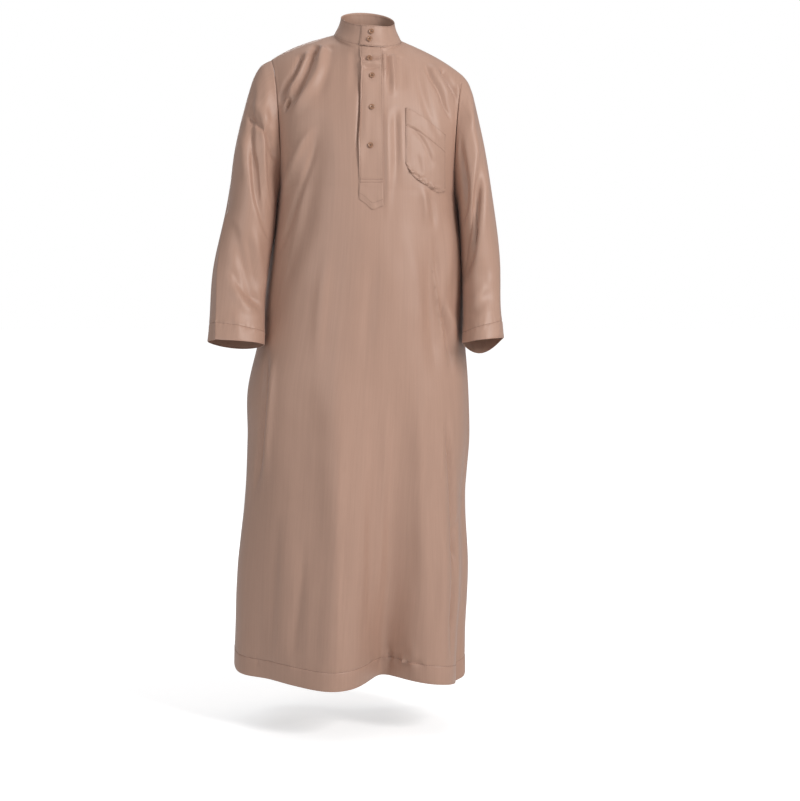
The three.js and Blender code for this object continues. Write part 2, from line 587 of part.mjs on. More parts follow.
// ---------------------------------------------------------------- collar
// The neckline, from over the centre front round the wearer's left, the back and the right, and on
// past the centre front, so that the band laps over its own end.
const COLLAR_START_X = 24; // the under end
const COLLAR_END_X = -15; // the buttoned end, over it
const COLLAR_ROWS = 3;
const COLLAR_LAP_TURN = 0.55; // the band moves out over this much turn before its own end
const COLLAR_LAP_SETTLED = 0.05; // and has done so this much turn before it
const COLLAR_TURN_ROOM = 0.04; // least turn between an end and the next upright

// The turns at which the panels' uprights reach the neckline, once round from the front centre.
const NECK_TURNS = ACROSS.filter((across) => Math.abs(across) <= NECK_ACROSS + 1e-9).map(
  (across) => Math.sign(across) * (Math.abs(across) / NECK_ACROSS) ** NECK_SPREAD * (Math.PI / 2),
);
const neckAngle = (x) => Math.asin((x - NECK_CENTRE[FRONT].x) / NECK_HALF_WIDTH);

// The band's turns, from the under end round the wearer's right, back and left to the upper end.
function collarTurns() {
  const from = neckAngle(COLLAR_START_X);
  const to = neckAngle(COLLAR_END_X) - 2 * Math.PI;
  const rounds = [0, -Math.PI, -2 * Math.PI].flatMap((start) => NECK_TURNS.map((turn) => start + turn));
  const isBetween = (turn) => turn < from - COLLAR_TURN_ROOM && turn > to + COLLAR_TURN_ROOM;
  const turns = [from, ...rounds.filter(isBetween), to].map((turn) => turn.toFixed(6));
  return [...new Set(turns)].map(Number).sort((a, b) => b - a);
}

function collarPoint(angle, rise, lap) {
  const face = Math.cos(angle) >= 0 ? FRONT : BACK;
  const base = necklinePoint(face, Math.sin(angle), Math.abs(Math.cos(angle)));
  const out = point(Math.sin(angle), -Math.cos(angle), 0);
  const tip = COLLAR_SIDE_TIP * Math.sin(angle) ** 2;
  const p = base.addScaledVector(out, lap - (COLLAR_LEAN + tip) * Math.sin((rise * Math.PI) / 2));
  p.z += SEAM_GAP + COLLAR_LAP_LIFT * lap + (COLLAR_HEIGHT - tip) * rise;
  return p;
}

function collarGrid() {
  const turns = collarTurns();
  const lapStart = neckAngle(COLLAR_START_X) - 2 * Math.PI;
  const points = steps(0, 1, COLLAR_ROWS).map((rise) =>
    turns.map((turn) => {
      const lap = COLLAR_LAP * smooth(lapStart + COLLAR_LAP_TURN, lapStart + COLLAR_LAP_SETTLED, turn);
      return collarPoint(turn, rise, lap);
    }),
  );
  return { points, normals: gridNormals(points, -1, false) };
}
const collar = collarGrid();

function collarSolid() {
  const inner = shifted(collar.points, collar.normals, -COLLAR_CLOTH);
  return wallSolid(
    collar.points.map((row) => row.map(stance)),
    inner.map((row) => row.map(stance)),
  );
}

// ---------------------------------------------------------------- placket
// The placket lies on the front panel's own points, moved out. Its lower end is pointed.
const PLACKET_COLUMNS = range(ACROSS.length).filter((c) => Math.abs(ACROSS[c]) <= PLACKET_ACROSS + 1e-9);
const PLACKET_ENDS = [-343, -351, -362, -359, -354]; // heights of the lower edge, from the wearer's right

// The place on one of the front's uprights at height z, with its normal.
function onUpright(column, z) {
  const row = front.points.findIndex((points) => points[column].z > z);
  const [low, high] = [front.points[row - 1][column], front.points[row][column]];
  const share = (z - low.z) / (high.z - low.z);
  return {
    p: low.clone().lerp(high, share),
    normal: front.normals[row - 1][column].clone().lerp(front.normals[row][column], share).normalize(),
  };
}

function placketGrid() {
  const lowest = Math.max(...PLACKET_ENDS);
  const rows = range(UP.length).filter((r) =>
    PLACKET_COLUMNS.every((c) => front.points[r][c].z > lowest + PLACKET_END_ROOM),
  );
  const low = PLACKET_COLUMNS.map((c, i) => onUpright(c, PLACKET_ENDS[i]));
  const top = PLACKET_COLUMNS.map((c) => onUpright(c, front.points[LAST_ROW][c].z - PLACKET_TOP_DROP));
  const between = rows.slice(0, -1);
  return {
    points: [
      low.map(({ p }) => p),
      ...between.map((r) => PLACKET_COLUMNS.map((c) => front.points[r][c])),
      top.map(({ p }) => p),
    ],
    normals: [
      low.map(({ normal }) => normal),
      ...between.map((r) => PLACKET_COLUMNS.map((c) => front.normals[r][c])),
      top.map(({ normal }) => normal),
    ],
  };
}
const placket = placketGrid();

function overlaySolid({ points, normals }, lift, cloth) {
  const inner = shifted(points, normals, lift);
  const outer = shifted(points, normals, lift + cloth);
  return wallSolid(
    outer.map((row) => row.map(stance)),
    inner.map((row) => row.map(stance)),
  );
}

// ---------------------------------------------------------------- pocket
// The place on the front panel's facets that shows at x and z from the front, with its normal.
function onFront(x, z) {
  const { points, normals } = front;
  for (let r = ROWS_BELOW - 2; r < LAST_ROW; r++)
    for (let c = 0; c < LAST_COLUMN; c++) {
      const corners = [[r, c], [r, c + 1], [r + 1, c + 1], [r + 1, c]];
      for (const trio of [[0, 1, 2], [0, 2, 3]]) {
        const cells = trio.map((i) => corners[i]);
        const flat = cells.map(([i, j]) => point(points[i][j].x, points[i][j].z, 0));
        const shares = new THREE.Vector3();
        if (!THREE.Triangle.getBarycoord(point(x, z, 0), ...flat, shares)) continue;
        if (Math.min(...shares.toArray()) < -1e-6) continue;
        const mix = (grid) => {
          const mixed = point(0, 0, 0);
          cells.forEach(([i, j], k) => mixed.addScaledVector(grid[i][j], shares.getComponent(k)));
          return mixed;
        };
        return { p: mix(points), normal: mix(normals).normalize() };
      }
    }
  throw new Error(`the front has no cloth at ${x}, ${z}`);
}

const POCKET_COLUMNS = 10;
const POCKET_ROWS = 12;

function pocketGrid() {
  const cells = steps(0, 1, POCKET_ROWS).map((up) =>
    steps(0, 1, POCKET_COLUMNS).map((across) => {
      const cut = POCKET.corner * (1 - up) ** POCKET.cornerRise * (2 * across - 1) ** POCKET.cornerReach;
      const foot = POCKET.bottomZ + cut;
      const x = POCKET.innerX + (POCKET.outerX - POCKET.innerX) * across;
      const z = foot + (POCKET.topZ - foot) * up - POCKET.drop * across ** POCKET.dropCurve;
      return onFront(x, z);
    }),
  );
  return {
    points: cells.map((row) => row.map(({ p }) => p)),
    normals: cells.map((row) => row.map(({ normal }) => normal)),
  };
}

// ---------------------------------------------------------------- buttons
// A button with a raised rim and a hollow face on a thread shank, facing along a normal.
function buttonGeometry(place, normal) {
  const top = BUTTON_SHANK + BUTTON_HEIGHT;
  const face = BUTTON_SHANK + 0.7 * BUTTON_HEIGHT;
  const profile = [
    [0, 0],
    [SHANK_RADIUS, 0],
    [SHANK_RADIUS, BUTTON_SHANK],
    [BUTTON_RADIUS * 0.9, BUTTON_SHANK],
    [BUTTON_RADIUS, BUTTON_SHANK + 0.45 * BUTTON_HEIGHT],
    [BUTTON_RADIUS * 0.92, top],
    [BUTTON_RADIUS * 0.7, top],
    [BUTTON_RADIUS * 0.55, face],
    [0, face],
  ].map(([radius, height]) => new THREE.Vector2(radius, height));
  const turned = new THREE.Quaternion().setFromUnitVectors(point(0, 1, 0), normal);
  const button = new THREE.LatheGeometry(profile, BUTTON_SIDES).applyQuaternion(turned);
  return button.translate(...place.toArray());
}

function placketButton(z) {
  const column = PLACKET_COLUMNS[PLACKET_STEPS / 2];
  const { p, normal } = onUpright(column, z);
  const lift = PLACKET_LIFT + PLACKET_CLOTH + SEAM_GAP;
  return buttonGeometry(stance(p.addScaledVector(normal, lift)), normal);
}

function collarButton(x, rise) {
  const turn = neckAngle(x) - 2 * Math.PI;
  const p = collarPoint(turn, rise, COLLAR_LAP);
  const normal = point(Math.sin(turn), -Math.cos(turn), COLLAR_LEAN / COLLAR_HEIGHT).normalize();
  return buttonGeometry(stance(p.addScaledVector(normal, SEAM_GAP)), normal);
}

const root = new THREE.Group();
const add = (name, geometry, material) => {
  const mesh = new THREE.Mesh(geometry, material);
  mesh.name = name;
  root.add(mesh);
};
add("front", panelSolid(FRONT), SATIN);
add("back", panelSolid(BACK), SATIN);
add("sleeve_right", sleeveSolid(sleeves.right), SATIN);
add("sleeve_left", sleeveSolid(sleeves.left), SATIN);
add("collar", collarSolid(), SATIN_TRIM);
add("placket", overlaySolid(placket, PLACKET_LIFT, PLACKET_CLOTH), SATIN_TRIM);
add("pocket", overlaySolid(pocketGrid(), POCKET.lift, POCKET.cloth), SATIN_TRIM);
for (const { name, z } of PLACKET_BUTTONS) add(name, placketButton(z), BUTTON);
for (const { name, x, rise } of COLLAR_BUTTONS) add(name, collarButton(x, rise), BUTTON);
export default root;
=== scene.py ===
import math

import bpy
import numpy as np
from mathutils import Matrix, Vector
from mathutils.bvhtree import BVHTree


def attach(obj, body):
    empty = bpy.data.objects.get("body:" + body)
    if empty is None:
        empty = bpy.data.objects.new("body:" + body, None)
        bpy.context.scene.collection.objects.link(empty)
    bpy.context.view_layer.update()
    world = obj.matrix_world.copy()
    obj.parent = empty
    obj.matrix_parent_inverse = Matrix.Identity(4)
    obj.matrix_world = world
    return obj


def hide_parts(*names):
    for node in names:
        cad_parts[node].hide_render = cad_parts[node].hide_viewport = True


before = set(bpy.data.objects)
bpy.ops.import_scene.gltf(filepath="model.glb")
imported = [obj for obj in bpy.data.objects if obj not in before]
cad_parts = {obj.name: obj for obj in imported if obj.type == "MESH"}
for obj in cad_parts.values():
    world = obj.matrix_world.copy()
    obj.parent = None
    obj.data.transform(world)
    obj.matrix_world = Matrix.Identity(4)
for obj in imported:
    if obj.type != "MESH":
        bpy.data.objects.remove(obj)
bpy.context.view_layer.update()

# A worn ankle-length robe: the cloth shells, their folds, sewing, buttons, finish, light and camera.
# Sizes are in millimetres until a mesh is made. +Z is up, the front faces -Y, and the wearer's left is +X.
FRONT, BACK = -1, 1
MM_PER_METRE = 1000
CLOTH = 0.9  # thickness
SEAM_GAP = 0.2


def rows(columns, *values):
    """A table as arrays, one for each named column."""
    return dict(zip(columns.split(), np.array(values, float).T))


# ------------------------------------------------------------------ sizes and tables of the form
LENGTH = 1330
UNDERARM_Z = -320
CHEST_RUN = 330  # along a panel from the underarm to its upper edge
NECK_HALF_WIDTH = 70
SHOULDER_HALF_WIDTH = 200
SHOULDER_TILT = 0.085
TILT_LOW_Z, TILT_HIGH_Z = -560, -150  # no tilt below, all of it above
SLIT_HEIGHT = 110
SLIT_OPENING = {FRONT: (9, 30), BACK: (2, 2)}  # on the wearer's right and left
SLIT_SPREAD = 0.6
SECTION_SQUARENESS = 0.04
QUARTER_GIRTH = 300
NECK_ACROSS = 0.24
NECK_SPREAD = 1.45
NECK_SIDE = (2, -3)
NECK_CENTRE = {FRONT: (6, -75, -30), BACK: (2, 58, 12)}
SHOULDER_SLOPE = 0.34
SHOULDER_FALL = 18
SHOULDER_BACK = 2  # the shoulder tip lies this far behind the neck point
PLACKET_ACROSS = 0.085

SECTIONS = rows(
    "z right left middle front back seam",
    (-1330, -281, 204, -38, -152, 168, 20),
    (-1240, -279, 206, -35, -152, 165, 20),
    (-1100, -272, 212, -28, -153, 160, 20),
    (-950, -257, 205, -21, -154, 155, 20),
    (-830, -252, 214, -15, -155, 150, 20),
    (-730, -251, 211, -8, -155, 146, 20),
    (-620, -227, 204, -2, -152, 139, 28),
    (-470, -202, 199, 6, -146, 130, 30),
    (-320, -181, 181, 9, -138, 126, 2),
    (-200, -181, 181, 9, -128, 126, 2),
)
HEM = {
    FRONT: rows("across rise", (-1, 24), (-0.75, 12), (-0.45, 8), (-0.15, 0), (0.02, 2),
                (0.22, 12), (0.45, 4), (0.8, -6), (1, 8)),
    BACK: rows("across rise", (-1, 24), (-0.6, 4), (0, 6), (0.6, 2), (1, 12)),
}
DRAPE = {
    FRONT: rows(
        "across outX highY highZ inX inY inZ",
        (0, 0, -106, -102, 0, -1, 95),
        (0.12, 3, -98, -72, 0, -2, 98),
        (0.24, 4, -84, -44, 0, -3, 102),
        (0.45, 0, -74, -30, 0, -8, 108),
        (0.7, -4, -70, -46, 0, -22, 100),
        (0.88, -10, -68, -68, -4, -46, 60),
        (1, -16, -62, -88, -8, -62, 20),
    ),
    BACK: rows(
        "across outX highY highZ inX inY inZ",
        (0, 0, 96, -34, 0, 10, 100),
        (0.12, 2, 94, -32, 0, 10, 100),
        (0.24, 3, 88, -28, 0, 10, 102),
        (0.45, 0, 82, -27, 0, 12, 108),
        (0.7, -2, 78, -45, 0, 24, 100),
        (0.88, -6, 76, -67, -4, 46, 60),
        (1, -12, 70, -88, -8, 60, 20),
    ),
}
SLEEVE_COLUMNS = "along outerX outerZ innerX innerZ y half lean drop"
SLEEVES = {
    -1: rows(
        SLEEVE_COLUMNS,
        (0, 200, -69, 181, -320, 3, 58, 0, 0),
        (0.05, 222, -84, 184, -334, 2, 64, 0, 0),
        (0.12, 241, -122, 188, -352, 1, 72, 0, 0),
        (0.3, 270, -235, 191, -405, -4, 76, 0, 0),
        (0.5, 290, -362, 199, -465, -16, 68, 3, 0),
        (0.7, 312, -470, 207, -530, -34, 58, 6, 1),
        (0.87, 320, -560, 210, -588, -60, 54, 8, 3),
        (1, 327, -630, 211, -636, -84, 54, 8, 5),
    ),
    1: rows(
        SLEEVE_COLUMNS,
        (0, 200, -69, 181, -320, 3, 58, 0, 0),
        (0.05, 211, -87, 184, -334, 2, 66, 0, 0),
        (0.12, 222, -122, 188, -352, 2, 76, 0, 0),
        (0.3, 245, -230, 190, -405, -4, 82, 0, 0),
        (0.5, 263, -358, 192, -465, -14, 78, 3, 1),
        (0.7, 274, -468, 194, -530, -28, 68, 5, 5),
        (0.87, 274, -556, 195, -590, -50, 62, 4, 15),
        (1, 279, -622, 194, -632, -72, 60, 3, 25),
    ),
}
# Large folds, by girth from the centre line and height. open folds keep their depth to the hem.
FOLD_COLUMNS = "topG topZ lowG lowZ bow width depth open"
FOLDS = {
    FRONT: rows(
        FOLD_COLUMNS,
        (-22, -520, -20, -1340, 14, 50, 40, 1),
        (60, -560, 66, -1340, -6, 44, -84, 1),
        (140, -600, 150, -1340, 10, 50, 26, 1),
        (-180, -640, -150, -1340, -12, 46, -18, 1),
        (255, -420, 236, -1340, 8, 34, -16, 1),
        (-120, -170, -215, -620, 26, 30, -10, 0),
        (118, -50, 190, -230, -14, 16, -4, 0),
        (96, -330, 170, -760, -10, 26, -7, 0),
    ),
    BACK: rows(
        FOLD_COLUMNS,
        (-20, -420, 10, -1340, 10, 46, -34, 1),
        (-110, -380, -105, -1340, -8, 44, 26, 1),
        (95, -460, 120, -1340, 8, 48, 30, 1),
        (-200, -560, -205, -1340, 8, 38, -24, 1),
        (205, -520, 212, -1340, -8, 40, -22, 1),
        (-130, -90, -200, -330, 8, 22, -6, 0),
        (125, -80, 205, -310, -8, 22, -7, 0),
        (30, -120, 70, -480, 8, 30, -6, 0),
    ),
}
SLEEVE_FOLD_COLUMNS = "fromTurn fromAlong toTurn toAlong width depth"
SLEEVE_FOLDS = {
    -1: rows(
        SLEEVE_FOLD_COLUMNS,
        (20, 0.1, 138, 0.42, 16, -9),
        (48, 0.02, 130, 0.26, 14, 6),
        (350, 0.42, 352, 0.99, 9, 6),
        (60, 0.52, 150, 0.86, 20, -9),
        (218, 0.06, 205, 0.92, 26, -11),
        (300, 0.5, 230, 0.9, 20, -8),
    ),
    1: rows(
        SLEEVE_FOLD_COLUMNS,
        (95, 0.04, 128, 0.3, 13, -10),
        (52, 0.22, 150, 0.66, 20, -14),
        (40, 0.05, 60, 0.3, 16, 5),
        (100, 0.62, 60, 0.88, 22, -6),
        (218, 0.06, 205, 0.92, 26, -11),
        (300, 0.5, 230, 0.9, 20, -8),
    ),
}

# ------------------------------------------------------------------ small creases
# Each crease: height out of the cloth (minus is in), its softness to the left and right of the line
# when looked at from the front, how quickly it fades in at each end, and the line's points as x, z.
CREASES = {
    FRONT: [
        # the wearer's right chest, from the neck down to the armpit
        (-12, 8, 6, 0.06, 0.3,
         ((-100, -22), (-107, -36), (-121, -69), (-134, -104), (-147, -135), (-160, -160))),
        (8, 10, 12, 0.06, 0.3,
         ((-86, -22), (-93, -40), (-99, -76), (-120, -116), (-145, -151), (-166, -180))),
        (-11, 7, 5, 0.1, 0.25,
         ((-132, -40), (-140, -62), (-152, -89), (-165, -108), (-174, -134), (-177, -152))),
        (6, 8, 6, 0.1, 0.3, ((-116, -34), (-126, -56), (-139, -86), (-152, -108), (-167, -136))),
        (-13, 3.5, 3, 0.4, 0.4, ((-159, -130), (-163, -144), (-167, -162))),
        (-3, 12, 10, 0.1, 0.4, ((-78, -18), (-80, -60), (-92, -110), (-108, -150))),
        # the broad diagonal fold below it
        (5.5, 10, 8, 0.3, 0.3,
         ((-96, -188), (-121, -213), (-140, -245), (-155, -280), (-168, -312), (-180, -360))),
        (-4, 6, 7, 0.25, 0.35, ((-98, -200), (-110, -246), (-128, -305), (-159, -390), (-196, -492))),
        (6.5, 13, 42, 0.25, 0.3, ((-108, -250), (-126, -330), (-142, -420), (-165, -509), (-190, -600))),
        # beside the placket: pulled folds under the collar, and the shaded front along its gaping edge
        (4.5, 3.2, 3.6, 0.1, 0.5, ((34, -42), (34, -60), (35, -80), (36, -104))),
        (-3.8, 3, 3, 0.1, 0.4, ((42, -42), (42.5, -80), (43, -110), (43, -135))),
        (5.4, 3.6, 5.4, 0.1, 0.4, ((49, -42), (51, -80), (53, -118), (52, -140))),
        (-3, 7, 9, 0.1, 0.4, ((66, -44), (70, -84), (74, -124))),
        (3.6, 6, 7, 0.2, 0.4, ((39, -150), (40, -200), (41, -260), (42, -330), (40, -400))),
        (-3.8, 7, 7, 0.2, 0.4, ((57, -150), (58, -200), (59, -260), (58, -330))),
        (3, 6, 7, 0.3, 0.4, ((66, -160), (68, -220), (69, -290))),
        (-5.5, 5, 8, 0.3, 0.3, ((-17, -60), (-15, -90), (-13, -130), (-16, -200), (-20, -260))),
        # the dip at the placket's top button
        (-4.5, 5, 5, 0.25, 0.35, ((-16, -58), (8, -57), (32, -55))),
        (2.2, 4, 4, 0.3, 0.4, ((-12, -67), (8, -66), (28, -65))),
        (-2.8, 4, 6, 0.3, 0.4, ((-14, -77), (8, -76), (30, -74))),
        (-3, 8, 10, 0.2, 0.4, ((-30, -30), (-28, -80), (-30, -140))),
        # the wearer's left shoulder down to the armpit
        (-6, 5, 3.5, 0.2, 0.3, ((116, -58), (132, -92), (147, -118), (160, -152), (174, -184))),
        (5, 10, 9, 0.2, 0.4, ((126, -56), (146, -90), (160, -118), (172, -150))),
        (-7, 5, 7, 0.15, 0.4, ((150, -66), (166, -98), (180, -122), (185, -150))),
        (4, 5, 5, 0.2, 0.3, ((184, -96), (189, -126), (191, -160))),
        # around the pocket
        (4.5, 7, 7, 0.35, 0.4, ((108, -308), (116, -350), (118, -400))),
        (-4.5, 6, 7, 0.35, 0.4, ((122, -318), (132, -360), (136, -410))),
        # waist and hip, the wearer's left
        (-6, 16, 12, 0.3, 0.3, ((132, -380), (134, -460), (130, -560), (134, -650), (140, -740))),
        (5, 10, 8, 0.3, 0.4, ((166, -360), (168, -450), (166, -540))),
        (3.4, 3.4, 3.4, 0.3, 0.2, ((126, -398), (134, -470), (142, -540), (151, -595), (163, -647))),
        (-3, 3.4, 7, 0.3, 0.25, ((134, -410), (142, -480), (150, -545), (158, -600), (168, -650))),
        (-9, 8, 6, 0.25, 0.4, ((150, -540), (162, -590), (170, -640), (172, -710))),
        (6, 7, 9, 0.3, 0.4, ((162, -550), (176, -606), (182, -680))),
        # long soft folds of the skirt
        (8, 42, 34, 0.3, 0.5, ((-52, -640), (-60, -780), (-64, -900), (-66, -1100))),
        (6.5, 40, 9, 0.4, 0.2, ((-46, -740), (-54, -900), (-60, -1060), (-58, -1325))),
        (4.5, 8, 13, 0.3, 0.4, ((38, -720), (34, -880), (27, -1020), (25, -1230))),
        (6, 15, 17, 0.3, 0.4, ((102, -690), (106, -860), (112, -1020), (114, -1240))),
        (-4, 9, 9, 0.35, 0.35, ((8, -860), (6, -980), (4, -1120), (0, -1280))),
        (-10, 7, 4, 0.2, 0.25, ((161, -752), (176, -964), (182, -1116), (170, -1322))),
        (4, 9, 9, 0.3, 0.3, ((144, -800), (152, -960), (156, -1100), (150, -1260))),
        (-6, 4, 6, 0.35, 0.35, ((197, -964), (177, -1048), (201, -1090))),
        (-5, 4, 5, 0.3, 0.35, ((190, -1110), (178, -1180), (188, -1250))),
        (-9, 4, 7, 0.2, 0.35, ((-207, -640), (-217, -812), (-234, -960))),
        (5, 8, 7, 0.25, 0.35, ((-192, -640), (-202, -800), (-214, -940))),
        (-2.6, 9, 7, 0.35, 0.3, ((-126, -1010), (-138, -1156), (-148, -1230), (-156, -1300))),
        (2.4, 12, 13, 0.35, 0.3, ((-108, -1060), (-118, -1180), (-126, -1300))),
        (4, 12, 14, 0.4, 0.4, ((-80, -420), (-96, -560), (-104, -700))),
        (-3, 16, 14, 0.4, 0.4, ((20, -430), (4, -560), (0, -690))),
        (4, 14, 14, 0.4, 0.4, ((90, -420), (104, -520), (108, -640))),
        (-4, 14, 10, 0.35, 0.3, ((-180, -950), (-190, -1100), (-200, -1280))),
        (-2.4, 4, 5, 0.4, 0.4, ((-234, -1298), (-218, -1285))),
        (-3, 6, 6, 0.4, 0.3, ((40, -1240), (44, -1290), (42, -1325))),
        (3, 6, 7, 0.4, 0.3, ((88, -1230), (94, -1285), (92, -1325))),
    ],
    BACK: [
        (-9, 7, 5, 0.08, 0.3, ((92, -46), (104, -74), (124, -118), (144, -164), (162, -218))),
        (7, 11, 9, 0.08, 0.3, ((76, -38), (90, -70), (110, -118), (132, -172), (152, -232))),
        (-6, 6, 5, 0.2, 0.3, ((130, -70), (146, -104), (162, -140), (172, -178))),
        (-8, 6, 6, 0.08, 0.3, ((-94, -30), (-106, -60), (-128, -104), (-148, -152), (-168, -208))),
        (7, 12, 9, 0.08, 0.3, ((-78, -24), (-92, -54), (-114, -102), (-136, -162), (-158, -224))),
        (-7, 5, 6, 0.2, 0.3, ((-134, -54), (-152, -92), (-166, -128), (-176, -170))),
        (-7, 12, 16, 0.3, 0.4, ((-56, -210), (-84, -300), (-120, -400), (-150, -480))),
        (7, 16, 13, 0.3, 0.4, ((40, -200), (70, -300), (110, -410), (150, -500))),
        (-5, 10, 12, 0.3, 0.4, ((66, -190), (96, -270), (130, -350), (160, -420))),
        (5, 14, 14, 0.3, 0.4, ((-20, -90), (-14, -240), (-26, -420))),
        (-4, 12, 12, 0.3, 0.4, ((22, -100), (26, -220), (18, -360))),
        (-9, 9, 8, 0.25, 0.4, ((-156, -520), (-166, -640), (-176, -750))),
        (7, 9, 10, 0.25, 0.4, ((150, -540), (166, -640), (174, -740))),
        (-6, 10, 9, 0.3, 0.4, ((120, -480), (140, -580), (150, -690))),
        (-9, 9, 11, 0.25, 0.3, ((60, -640), (72, -860), (84, -1090), (88, -1316))),
        (8, 12, 11, 0.25, 0.3, ((-58, -700), (-70, -920), (-76, -1110), (-84, -1320))),
        (-8, 10, 8, 0.25, 0.3, ((-196, -760), (-210, -960), (-224, -1120), (-230, -1300))),
        (6, 9, 9, 0.3, 0.3, ((172, -820), (186, -980), (190, -1140), (188, -1300))),
        (5, 12, 12, 0.35, 0.4, ((0, -600), (10, -800), (4, -1000))),
        (-5, 12, 10, 0.35, 0.3, ((24, -900), (30, -1080), (26, -1300))),
        (4, 10, 10, 0.35, 0.3, ((-140, -900), (-150, -1100), (-156, -1300))),
        (-5, 5, 6, 0.35, 0.35, ((176, -930), (160, -1010), (180, -1080))),
    ],
}
CREASES_SLEEVE = {
    # x is minus on the wearer's right
    (-1, FRONT): [
        (-6, 5, 6, 0.25, 0.2,
         ((-250, -148), (-243, -168), (-228, -184), (-206, -205), (-196, -232), (-188, -266))),
        (4, 9, 12, 0.3, 0.3, ((-244, -128), (-222, -156), (-200, -186), (-190, -220))),
        (4, 10, 12, 0.3, 0.4, ((-262, -190), (-252, -250), (-246, -320))),
        (-5, 9, 9, 0.3, 0.4, ((-236, -230), (-226, -300), (-224, -370))),
        (4, 7, 9, 0.3, 0.3, ((-232, -392), (-220, -466), (-208, -524), (-204, -552))),
        (-4, 9, 9, 0.3, 0.3, ((-248, -398), (-237, -470), (-224, -530))),
        (-5, 9, 9, 0.3, 0.3, ((-280, -470), (-256, -520), (-230, -546), (-206, -556))),
        (3, 10, 10, 0.3, 0.3, ((-276, -510), (-250, -556), (-222, -572))),
        (3, 10, 10, 0.4, 0.4, ((-270, -560), (-262, -600), (-258, -630))),
    ],
    (1, FRONT): [
        (-7, 10, 9, 0.25, 0.3, ((240, -262), (228, -310), (215, -378), (200, -436), (194, -520))),
        (3, 12, 12, 0.3, 0.3, ((254, -230), (246, -290), (236, -360), (222, -430), (212, -500))),
        (-3.4, 10, 12, 0.3, 0.3, ((246, -520), (224, -560), (196, -580))),
        (2, 12, 12, 0.3, 0.3, ((254, -486), (232, -530), (204, -550))),
        (4, 6, 8, 0.3, 0.3, ((206, -100), (214, -150), (216, -200))),
        (-3, 8, 8, 0.3, 0.3, ((222, -120), (232, -170), (240, -220))),
    ],
    (-1, BACK): [
        (-8, 8, 7, 0.3, 0.3, ((-208, -130), (-226, -210), (-216, -300), (-202, -370))),
        (7, 9, 9, 0.3, 0.3, ((-232, -150), (-246, -250), (-238, -330), (-222, -400))),
        (-6, 7, 7, 0.3, 0.3, ((-262, -230), (-264, -310), (-250, -400))),
        (-7, 8, 7, 0.3, 0.3, ((-288, -430), (-262, -490), (-230, -530))),
        (6, 8, 7, 0.3, 0.3, ((-292, -480), (-262, -540), (-228, -580))),
    ],
    (1, BACK): [
        (-8, 8, 7, 0.3, 0.3, ((206, -130), (216, -230), (206, -310), (196, -380))),
        (7, 9, 9, 0.3, 0.3, ((224, -160), (234, -260), (222, -340), (206, -410))),
        (-6, 7, 7, 0.3, 0.3, ((244, -220), (248, -300), (238, -390))),
        (-7, 8, 7, 0.3, 0.3, ((258, -420), (236, -480), (206, -520))),
        (6, 8, 7, 0.3, 0.3, ((260, -470), (236, -530), (206, -570))),
    ],
}
# Edges pressed in by folding and ironing: as above, but with a sharp ridge.
PRESSED_SLEEVE = {
    -1: [(5.5, 4, 9, 0.12, 0.05, ((-282, -350), (-293, -392), (-303, -476), (-305, -560), (-305, -640)))],
    1: [(3, 8, 4, 0.3, 0.1, ((268, -380), (272, -470), (268, -560), (264, -630)))],
}


# ------------------------------------------------------------------ small tools
def smooth(low, high, x):
    """A soft step: 0 up to low, 1 from high on."""
    t = np.clip((x - low) / (high - low), 0, 1)
    return t * t * (3 - 2 * t)


def bump(x, middle, width):
    """A soft hump, 1 high at its middle."""
    return np.exp(-(((x - middle) / width) ** 2))


def read(table, key, at):
    """Every column of a table at the given values of its key, on a smooth curve through the rows."""
    keys = table[key]
    last = len(keys) - 1
    b = np.clip(np.searchsorted(keys, at, side="right"), 1, last)
    a, before, after = b - 1, np.maximum(b - 2, 0), np.minimum(b + 1, last)
    span = keys[b] - keys[a]
    t = np.clip((at - keys[a]) / span, 0, 1)
    found = {}
    for name, column in table.items():
        rise_a = (column[b] - column[before]) / (keys[b] - keys[before]) * span
        rise_b = (column[after] - column[a]) / (keys[after] - keys[a]) * span
        found[name] = (
            column[a] * (2 * t**3 - 3 * t**2 + 1)
            + rise_a * (t**3 - 2 * t**2 + t)
            + column[b] * (3 * t**2 - 2 * t**3)
            + rise_b * (t**3 - t**2)
        )
    return found


def points_of(x, y, z):
    """Points from their three coordinates, any of which may be a single number."""
    return np.stack(np.broadcast_arrays(x, y, z), -1).astype(float)


def normals_of(grid, turned, wraps=False):
    """Outward unit normals of a grid of points."""
    if wraps:
        across = np.roll(grid, -1, 1) - np.roll(grid, 1, 1)
    else:
        across = np.gradient(grid, axis=1)
    normal = np.cross(across, np.gradient(grid, axis=0)) * turned
    return normal / np.maximum(np.linalg.norm(normal, axis=-1, keepdims=True), 1e-9)


def stance(points):
    """The wearer's stance: the shoulders tilt, and the tilt fades out by the hips."""
    moved = points.copy()
    moved[..., 2] -= SHOULDER_TILT * points[..., 0] * smooth(TILT_LOW_Z, TILT_HIGH_Z, points[..., 2])
    return moved


def waves(u, v, seed, pitch, count=9):
    """Soft uneven waves between about -1 and 1, from places in millimetres."""
    dice = np.random.default_rng(seed)
    total = np.zeros(np.broadcast(u, v).shape)
    for _ in range(count):
        turn = dice.uniform(0, 2 * math.pi)
        scale = 2 * math.pi / (pitch * dice.uniform(0.6, 1.7))
        total += np.sin((u * math.cos(turn) + v * math.sin(turn)) * scale + dice.uniform(0, 6.3))
    return total / math.sqrt(count)


